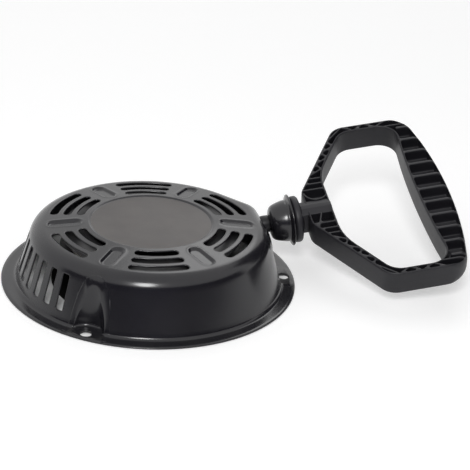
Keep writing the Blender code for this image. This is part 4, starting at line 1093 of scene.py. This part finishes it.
# %% Turn the foot, and raise the block
ROPE_HOLE, KNOT_HOLE, WEB_HOLE = 2.5 * MM, 4.9 * MM, 5.2 * MM
KNOT_HOLE_STARTS = 16.5 * MM
PAST_BOSS = 30.0 * MM
foot_section = [
    (2.5, 1.1), (13.2, 1.1), (14.4, 1.35), (15.1, 1.9), (15.4, 2.8), (15.4, 4.6), (15.2, 5.3),
    (14.6, 5.9), (13.8, 6.2), (10.6, 6.5), (9.8, 6.9), (9.2, 7.6), (8.4, 8.0), (2.5, 8.0)]
block_side = [(6.5, 0.0, 0.0), (6.5, 7.9, 0.7), (1.6, 9.3, 1.6)]
block_corners = block_side + [(-x, y, r) for x, y, r in reversed(block_side[1:])]
block_corners += [(-x, -y, r) for x, y, r in block_side]
block_corners += [(x, -y, r) for x, y, r in reversed(block_side[1:])]
block_outline = rounded(in_metres(block_corners), step=radians(12.0))
BLOCK_ROWS = [(6.3, 0.0), (12.0, 0.0), (20.0, 0.0), (27.2, 0.0), (27.5, 0.05), (27.75, 0.2), (27.9, 0.45)]


def boss_block():
    count = len(block_outline)
    points = [Vector((x, *p)) for x, inset in in_metres(BLOCK_ROWS) for p in shifted(block_outline, -inset)]
    ends = [tuple(range(count)), tuple(range(len(points) - count, len(points)))]
    return points, ring_faces(len(BLOCK_ROWS), count) + ends


def round_bar(radius, low, high):
    return placed(prism(circle(radius, 60), low, high), handle_place @ x_up)


boss = made_piece("handle_boss", *placed(boss_block(), handle_place), sharp=50.0)
cut(boss, [round_bar(KNOT_HOLE, KNOT_HOLE_STARTS, PAST_BOSS)])
cut(boss, [round_bar(ROPE_HOLE, 2.0 * MM, PAST_BOSS)])
boss.data.set_sharp_from_angle(angle=radians(50.0))
boss_foot = made_piece("handle_foot", *turned_along(foot_section, 80, handle_place), sharp=50.0)
cut(handle, [round_bar(WEB_HOLE, -1.0 * MM, PAST_BOSS)])
handle.data.set_sharp_from_angle(angle=radians(50.0))

# %% [markdown]
# ## The rope
# The rope is a 4 mm braid. It starts in a knot under the reel, lies in two rows and two layers in
# the groove, leaves for the bushing, and runs through the bell to the knot in the handle. A tube
# follows each stretch, with a map that runs round and along it, so that the braid can be drawn on
# it.

# %% Tubes with a map along them
ROPE_RADIUS = 2.0 * MM
ROPE_SIDES = 16


def mapped(made, lengths):
    """Gives a tube a map: one turn across it, and the length along it in turns."""
    chart = made.data.uv_layers.new(name="round_and_along")
    for polygon in made.data.polygons:
        corners = [made.data.loops[i].vertex_index for i in polygon.loop_indices]
        turns = [corner % ROPE_SIDES / ROPE_SIDES for corner in corners]
        wraps = max(turns) - min(turns) > 0.5
        for corner, turn, i in zip(corners, turns, polygon.loop_indices):
            across = turn + (1.0 if wraps and turn < 0.5 else 0.0)
            chart.data[i].uv = (across, lengths[corner // ROPE_SIDES] / (2 * pi * ROPE_RADIUS))


def rope_tube(name, path):
    points, lengths = [], []
    side = (path[1] - path[0]).orthogonal().normalized()
    length = 0.0
    for i, point in enumerate(path):
        along = (path[min(i + 1, len(path) - 1)] - path[max(i - 1, 0)]).normalized()
        side = (side - along * side.dot(along)).normalized()
        length += (point - path[i - 1]).length if i else 0.0
        lengths.append(length)
        for x, y in circle(1.0, ROPE_SIDES):
            points.append(point + (side * x + along.cross(side) * y) * ROPE_RADIUS)
    ends = [tuple(range(ROPE_SIDES)), tuple(range(len(points) - ROPE_SIDES, len(points)))]
    made = made_piece(name, points, ring_faces(len(path), ROPE_SIDES) + ends, sharp=60.0)
    mapped(made, lengths)
    print(name, "is", round(length / MM), "mm long")
    return made


# %% The rope's route
FIRST_LAYER = 45.3 * MM
SECOND_LAYER = 49.6 * MM
ROW_LOW, ROW_STEP = 25.95 * MM, 4.3 * MM
WOUND = radians(1260.0)
CHANGES = {"row up": radians(300.0), "layer": radians(600.0), "row down": radians(918.0)}
CHANGE_TAKES = radians(55.0)
ROPE_BEND = 1.75 * ROPE_RADIUS
REEL_UNDERSIDE = 21.85 * MM
LEAD_BEND = 7.0 * MM
LEAD_SPACING = 0.8 * MM
IN_BELL = (10, 14, 18, 24, 30, 36.1)
leaving = atan2(OUTLET_POINT.y, OUTLET_POINT.x) + acos(SECOND_LAYER / hypot(OUTLET_POINT.x, OUTLET_POINT.y))


def finer(path, spacing):
    """A soft line through the points, with points at about this spacing."""
    result = []
    for i in range(len(path) - 1):
        a, b = path[max(i - 1, 0)], path[i]
        c, d = path[i + 1], path[min(i + 2, len(path) - 1)]
        parts = max(1, ceil((c - b).length / spacing))
        for k in range(parts):
            s = k / parts
            curve = 2 * b + (c - a) * s + (2 * a - 5 * b + 4 * c - d) * s**2 + (3 * b - a - 3 * c + d) * s**3
            result.append(0.5 * curve)
    return result + [path[-1]]


def wound_point(turning):
    up, climb, lower = (smooth_step((turning - start) / CHANGE_TAKES) for start in CHANGES.values())
    radius = FIRST_LAYER + (SECOND_LAYER - FIRST_LAYER) * climb
    angle = leaving + WOUND - turning
    return Vector((radius * cos(angle), radius * sin(angle), ROW_LOW + ROW_STEP * (up - lower)))


def turns_route():
    first = wound_point(0.0)
    path = [Vector((first.x, first.y, REEL_UNDERSIDE))]
    for i in range(6):
        angle = pi / 2 * i / 5
        point = wound_point(ROPE_BEND * (1 - cos(angle)) / FIRST_LAYER)
        path.append(point - Vector((0.0, 0.0, ROPE_BEND * (1 - sin(angle)))))
    steps = round(WOUND / radians(2.5))
    return path + [wound_point(WOUND * i / steps) for i in range(5, steps)]


def lead_route():
    start = Vector((SECOND_LAYER * cos(leaving), SECOND_LAYER * sin(leaving), ROW_LOW))
    heading = (OUTLET_POINT - start).normalized()
    before = OUTLET_POINT - heading * LEAD_BEND
    after = pull_axis @ Vector((LEAD_BEND, 0.0, 0.0))
    path = [start + heading * d * MM for d in (1.0, 12.0, 24.0, 36.0)]
    for s in np.linspace(0.0, 1.0, 9):
        path.append(before * (1 - s) ** 2 + OUTLET_POINT * 2 * s * (1 - s) + after * s**2)
    return path + [pull_axis @ Vector((x * MM, 0.0, 0.0)) for x in IN_BELL]


# %% The knots, and all four stretches
KNOT_RADIUS = 2.6 * MM
KNOT_X = 38.8 * MM
KNOT_DROP = 2.3 * MM
KNOT_STEPS = 24


def knot_route(start, direction, across):
    side = direction.cross(across)
    path = []
    for i in range(KNOT_STEPS + 1):
        angle = 2 * pi * i / KNOT_STEPS
        ring = across * cos(angle) + side * sin(angle)
        path.append(start + direction * (ROW_STEP * i / KNOT_STEPS) + ring * KNOT_RADIUS)
    return path


below_reel = wound_point(0.0)
below_reel.z = REEL_UNDERSIDE - KNOT_DROP
outwards = Vector((below_reel.x, below_reel.y, 0.0)).normalized()
under_reel = knot_route(below_reel, Vector((0.0, 0.0, -1.0)), outwards)
in_handle = knot_route(Vector((KNOT_X, 0.0, 0.0)), Vector((1.0, 0.0, 0.0)), Vector((0.0, 0.0, 1.0)))
rope_turns = rope_tube("rope_on_reel", turns_route())
rope_lead = rope_tube("rope_to_handle", finer(lead_route(), LEAD_SPACING))
rope_knot = rope_tube("knot_in_handle", [pull_axis @ p for p in in_handle])
reel_knot = rope_tube("knot_under_reel", under_reel)

# %% [markdown]
# ## Effects that several finishes share
# Four effects come back in almost every finish: a fine grain, uneven gloss, edges rubbed bright
# and dust that settles on upward faces. Each is a node group, built once, with its own sockets.
# They give only masks and values; the shader stays in the material.


# %% Helpers for the groups
def new_group(name, wanted, given):
    group = bpy.data.node_groups.new(name, "ShaderNodeTree")
    for label, value in wanted:
        socket = group.interface.new_socket(label, in_out="INPUT", socket_type="NodeSocketFloat")
        socket.default_value = value
    group.interface.new_socket(given, in_out="OUTPUT", socket_type="NodeSocketFloat")
    return group, group.nodes.new("NodeGroupInput").outputs, group.nodes.new("NodeGroupOutput").inputs[given]


def speckle(tree, scale, detail):
    noise = add_node(tree, "ShaderNodeTexNoise")
    noise.inputs["Detail"].default_value = detail
    tree.links.new(add_node(tree, "ShaderNodeTexCoord").outputs["Object"], noise.inputs["Vector"])
    feed(tree, noise.inputs["Scale"], scale)
    return noise.outputs["Fac"]


# %% Build the groups
grain_group, wanted, given = new_group("fine_grain", [("Scale", 900.0), ("Coarse", 0.3)], "Height")
fine = speckle(grain_group, wanted["Scale"], 2.0)
coarse = speckle(grain_group, math_node(grain_group, "MULTIPLY", wanted["Scale"], 0.17), 1.0)
coarse = math_node(grain_group, "MULTIPLY", coarse, wanted["Coarse"])
grain_group.links.new(math_node(grain_group, "ADD", fine, coarse), given)

gloss_group, wanted, given = new_group("uneven_gloss", [("Scale", 40.0), ("Spread", 0.1)], "Value")
cloud = math_node(gloss_group, "SUBTRACT", speckle(gloss_group, wanted["Scale"], 4.0), 0.5)
gloss_group.links.new(math_node(gloss_group, "MULTIPLY", cloud, wanted["Spread"]), given)

edge_sockets = [("Start", 0.52), ("End", 0.62), ("Patchy", 0.6)]
wear_group, wanted, given = new_group("rubbed_edges", edge_sockets, "Mask")
ridge = add_node(wear_group, "ShaderNodeNewGeometry").outputs["Pointiness"]
ridge = ramp(wear_group, ridge, wanted["Start"], wanted["End"])
patch = ramp(wear_group, speckle(wear_group, 160.0, 5.0), 0.42, 0.68)
patch = math_node(wear_group, "MULTIPLY", patch, wanted["Patchy"])
patch = math_node(wear_group, "ADD", patch, math_node(wear_group, "SUBTRACT", 1.0, wanted["Patchy"]))
wear_group.links.new(math_node(wear_group, "MULTIPLY", ridge, patch, clamp=True), given)

dust_group, wanted, given = new_group("settled_dust", [("Amount", 0.1), ("Scale", 55.0)], "Mask")
split = add_node(dust_group, "ShaderNodeSeparateXYZ")
dust_group.links.new(add_node(dust_group, "ShaderNodeNewGeometry").outputs["Normal"], split.inputs[0])
upward = ramp(dust_group, split.outputs["Z"], 0.35, 1.0)
clumps = ramp(dust_group, speckle(dust_group, wanted["Scale"], 6.0), 0.3, 0.8)
layer = math_node(dust_group, "MULTIPLY", upward, clumps)
dust_group.links.new(math_node(dust_group, "MULTIPLY", layer, wanted["Amount"], clamp=True), given)
print("shared groups:", [group.name for group in bpy.data.node_groups])

# %% A finish from these effects
DUST_COLOUR = (0.3, 0.28, 0.25)


def use_group(tree, group, **values):
    made = add_node(tree, "ShaderNodeGroup", node_tree=group)
    for name, value in values.items():
        made.inputs[name].default_value = value
    return made.outputs[0]


def mixed(tree, mask, first, second):
    made = add_node(tree, "ShaderNodeMix", data_type="RGBA")
    tree.links.new(mask, made.inputs["Factor"])
    for name, colour in (("A", first), ("B", second)):
        socket = next(s for s in made.inputs if s.name == name and s.type == "RGBA")
        feed(tree, socket, (*colour, 1.0) if isinstance(colour, tuple) else colour)
    return next(s for s in made.outputs if s.type == "RGBA")


def finish(name, tones, gloss, grain, rubbed, wear, dust, specular=0.5, metallic=0.0):
    """tones are two colours that it drifts between, and rubbed is the colour of worn edges.
    gloss is (roughness, spread), grain is (scale, depth), and wear is (start, end, patchy)."""
    material = bpy.data.materials.new(name)
    tree = graph_of(material)
    shader = tree.nodes["Principled BSDF"]
    shader.inputs["Metallic"].default_value = metallic
    shader.inputs["Specular IOR Level"].default_value = specular
    tone = mixed(tree, ramp(tree, speckle(tree, 23.0, 5.0), 0.35, 0.7), *tones)
    worn = use_group(tree, wear_group, Start=wear[0], End=wear[1], Patchy=wear[2])
    tone = mixed(tree, worn, tone, rubbed)
    tone = mixed(tree, use_group(tree, dust_group, Amount=dust), tone, DUST_COLOUR)
    tree.links.new(tone, shader.inputs["Base Color"])
    uneven = use_group(tree, gloss_group, Spread=gloss[1])
    tree.links.new(math_node(tree, "ADD", uneven, gloss[0], clamp=True), shader.inputs["Roughness"])
    relief = add_node(tree, "ShaderNodeBump")
    relief.inputs["Distance"].default_value = grain[1]
    relief.inputs["Strength"].default_value = 0.6
    tree.links.new(use_group(tree, grain_group, Scale=grain[0]), relief.inputs["Height"])
    tree.links.new(relief.outputs["Normal"], shader.inputs["Normal"])
    return material


# %% [markdown]
# ## Finishes
# Stoved enamel is glossy, with a faint orange peel, and it thins to a lighter line on the edges.
# The recess for the label is duller and a little warmer. The handle is moulded in filled nylon:
# dull, with a fine spark texture. The bell's rubber is smooth and shinier. Inside there is
# zinc-plated steel, blued spring steel, turned steel and grey nylon.

# %% Paint
enamel = finish(
    "black_enamel", tones=((0.0085, 0.0082, 0.0112), (0.0115, 0.011, 0.0138)), gloss=(0.2, 0.08),
    grain=(420.0, 0.01 * MM), rubbed=(0.05, 0.048, 0.046), wear=(0.53, 0.64, 0.7), dust=0.02)
label_recess = finish(
    "label_recess", tones=((0.037, 0.031, 0.029), (0.049, 0.041, 0.038)), gloss=(0.42, 0.16),
    grain=(700.0, 0.012 * MM), rubbed=(0.06, 0.055, 0.05), wear=(0.53, 0.64, 0.7), dust=0.05)

# %% Plastic and rubber
nylon = finish(
    "moulded_nylon", tones=((0.0112, 0.0108, 0.0138), (0.0145, 0.014, 0.0172)), gloss=(0.46, 0.14),
    grain=(1500.0, 0.03 * MM), rubbed=(0.024, 0.0235, 0.026), wear=(0.53, 0.63, 0.55), dust=0.004,
    specular=0.36)
# The bushing is the handle's nylon made darker and less glossy: painted shade of the bell that overhangs it.
shaded_bushing_plastic = finish(
    "shaded_bushing_plastic", tones=((0.006, 0.0058, 0.0075), (0.009, 0.0088, 0.0105)), gloss=(0.4, 0.1),
    grain=(1200.0, 0.02 * MM), rubbed=(0.015, 0.015, 0.016), wear=(0.53, 0.63, 0.55), dust=0.01,
    specular=0.3)
reel_nylon = finish(
    "reel_nylon", tones=((0.014, 0.014, 0.016), (0.02, 0.0195, 0.021)), gloss=(0.46, 0.14),
    grain=(1300.0, 0.03 * MM), rubbed=(0.09, 0.088, 0.085), wear=(0.53, 0.63, 0.6), dust=0.03)
rubber = finish(
    "bell_rubber", tones=((0.0075, 0.0072, 0.0095), (0.0105, 0.01, 0.0125)), gloss=(0.21, 0.08),
    grain=(800.0, 0.01 * MM), rubbed=(0.03, 0.03, 0.03), wear=(0.54, 0.66, 0.7), dust=0.03,
    specular=0.6)

# %% Metals
zinc = finish(
    "zinc_plate", tones=((0.58, 0.575, 0.54), (0.47, 0.475, 0.47)), gloss=(0.34, 0.2),
    grain=(600.0, 0.01 * MM), rubbed=(0.68, 0.67, 0.65), wear=(0.52, 0.6, 0.6), dust=0.02,
    metallic=1.0)
blued = finish(
    "blued_spring", tones=((0.2, 0.215, 0.245), (0.15, 0.15, 0.17)), gloss=(0.28, 0.14),
    grain=(900.0, 0.006 * MM), rubbed=(0.42, 0.42, 0.42), wear=(0.52, 0.6, 0.4), dust=0.0,
    metallic=1.0)
steel = finish(
    "turned_steel", tones=((0.5, 0.49, 0.48), (0.4, 0.39, 0.38)), gloss=(0.3, 0.12),
    grain=(1100.0, 0.008 * MM), rubbed=(0.62, 0.61, 0.6), wear=(0.52, 0.6, 0.5), dust=0.0,
    metallic=1.0)
print("materials:", [material.name for material in bpy.data.materials])

# %% [markdown]
# ## Braid
# A braid is two sets of strands that wind round the rope in opposite ways and pass over and under
# each other. Two slanted waves make it: where one set is on top, the other dips. The map along the
# rope keeps the strands the same size on every stretch.

# %% The rope's finish
STRANDS = 8.0
cord = finish(
    "braided_cord", tones=((0.62, 0.6, 0.55), (0.5, 0.475, 0.43)), gloss=(0.72, 0.1),
    grain=(2600.0, 0.02 * MM), rubbed=(0.7, 0.68, 0.64), wear=(0.55, 0.7, 0.5), dust=0.05)
tree = cord.node_tree
split = add_node(tree, "ShaderNodeSeparateXYZ")
tree.links.new(add_node(tree, "ShaderNodeUVMap", uv_map="round_and_along").outputs["UV"], split.inputs[0])
waves = []
for way in (1.0, -1.0):
    across = math_node(tree, "MULTIPLY", split.outputs["X"], STRANDS * pi)
    along = math_node(tree, "MULTIPLY", split.outputs["Y"], way * STRANDS * pi)
    waves.append(math_node(tree, "SINE", math_node(tree, "ADD", across, along)))
crossing = math_node(tree, "MULTIPLY", *waves)
strand_height_and_groove_shade = ramp(tree, math_node(tree, "ABSOLUTE", crossing), 0.0, 0.6)
shader = tree.nodes["Principled BSDF"]
plain = shader.inputs["Base Color"].links[0].from_socket
# Where the strands dip, the colour is painted darker: painted shade in the braid's grooves, on top of the
# bump.
tree.links.new(mixed(tree, strand_height_and_groove_shade, (0.2, 0.19, 0.17), plain), shader.inputs["Base Color"])
relief = add_node(tree, "ShaderNodeBump")
relief.inputs["Distance"].default_value = 0.3 * MM
tree.links.new(strand_height_and_groove_shade, relief.inputs["Height"])
tree.links.new(shader.inputs["Normal"].links[0].from_socket, relief.inputs["Normal"])
tree.links.new(relief.outputs["Normal"], shader.inputs["Normal"])
shader.inputs["Sheen Weight"].default_value = 0.2
print("braid has", len(waves), "sets of strands")

# %% [markdown]
# ## Putting it together
# Every new piece rides on the body that carries it in the working model, so it moves with the
# joints. Where it stands for a part of the model, that part is hidden. The stretch of rope between
# bowl and handle is the only one that crosses a joint; it rides on no body, and its place is baked in.
# The small inner parts keep their own shapes, and only get a finish.


# %% Give the new pieces their finish and their body
def dress(piece, *materials):
    piece.data.materials.clear()
    for material in materials:
        piece.data.materials.append(material)


pieces = [
    (bowl, [enamel, label_recess], "housing", "black_paint", ["housing"]),
    (vent_beads, [enamel], "housing", "black_paint", []),
    (pockets, [enamel], "housing", "black_paint", []),
    (guide, [shaded_bushing_plastic], "housing", "black_plastic", ["rope_guide"]),
    (bell, [rubber], "handle", "rubber", ["bell"]),
    (handle, [nylon], "handle", "black_plastic", ["handle"]),
    (boss, [nylon], "handle", "black_plastic", []),
    (boss_foot, [nylon], "handle", "black_plastic", []),
    (rope_turns, [cord], "reel", "rope", ["rope_turns"]),
    (reel_knot, [cord], "reel", "rope", ["reel_knot"]),
    (rope_knot, [cord], "handle", "rope", ["rope_knot"]),
]
for made, materials, body, slot, replaced in pieces:
    dress(made, *materials)
    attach(made, body)
    if replaced:
        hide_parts(*replaced)
dress(rope_lead, cord)
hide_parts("rope_lead")
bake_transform(rope_lead)
for polygon in bowl.data.polygons:
    x, y, z = polygon.center
    level = z > BOWL_HEIGHT - SHEET and polygon.normal.z > 0.9
    polygon.material_index = int(level and hypot(x, y) < DISC_RADIUS - DISC_EDGE)
print("new pieces dressed:", len(pieces) + 1)

# %% Give the kept parts their finish
kept = [
    (reel_nylon, ["reel"]),
    (steel, ["centre_post", "pawl_pin_1", "pawl_pin_2"]),
    (blued, ["recoil_spring", "pawl_spring_1", "pawl_spring_2", "friction_spring"]),
    (zinc, ["centre_screw", "guide_plate", "pawl_1", "pawl_2", "thrust_washer", "knot_washer"]),
]
for material, names in kept:
    for name in names:
        dress(nodes[name], material)
print("kept parts dressed:", sum(len(names) for _, names in kept))
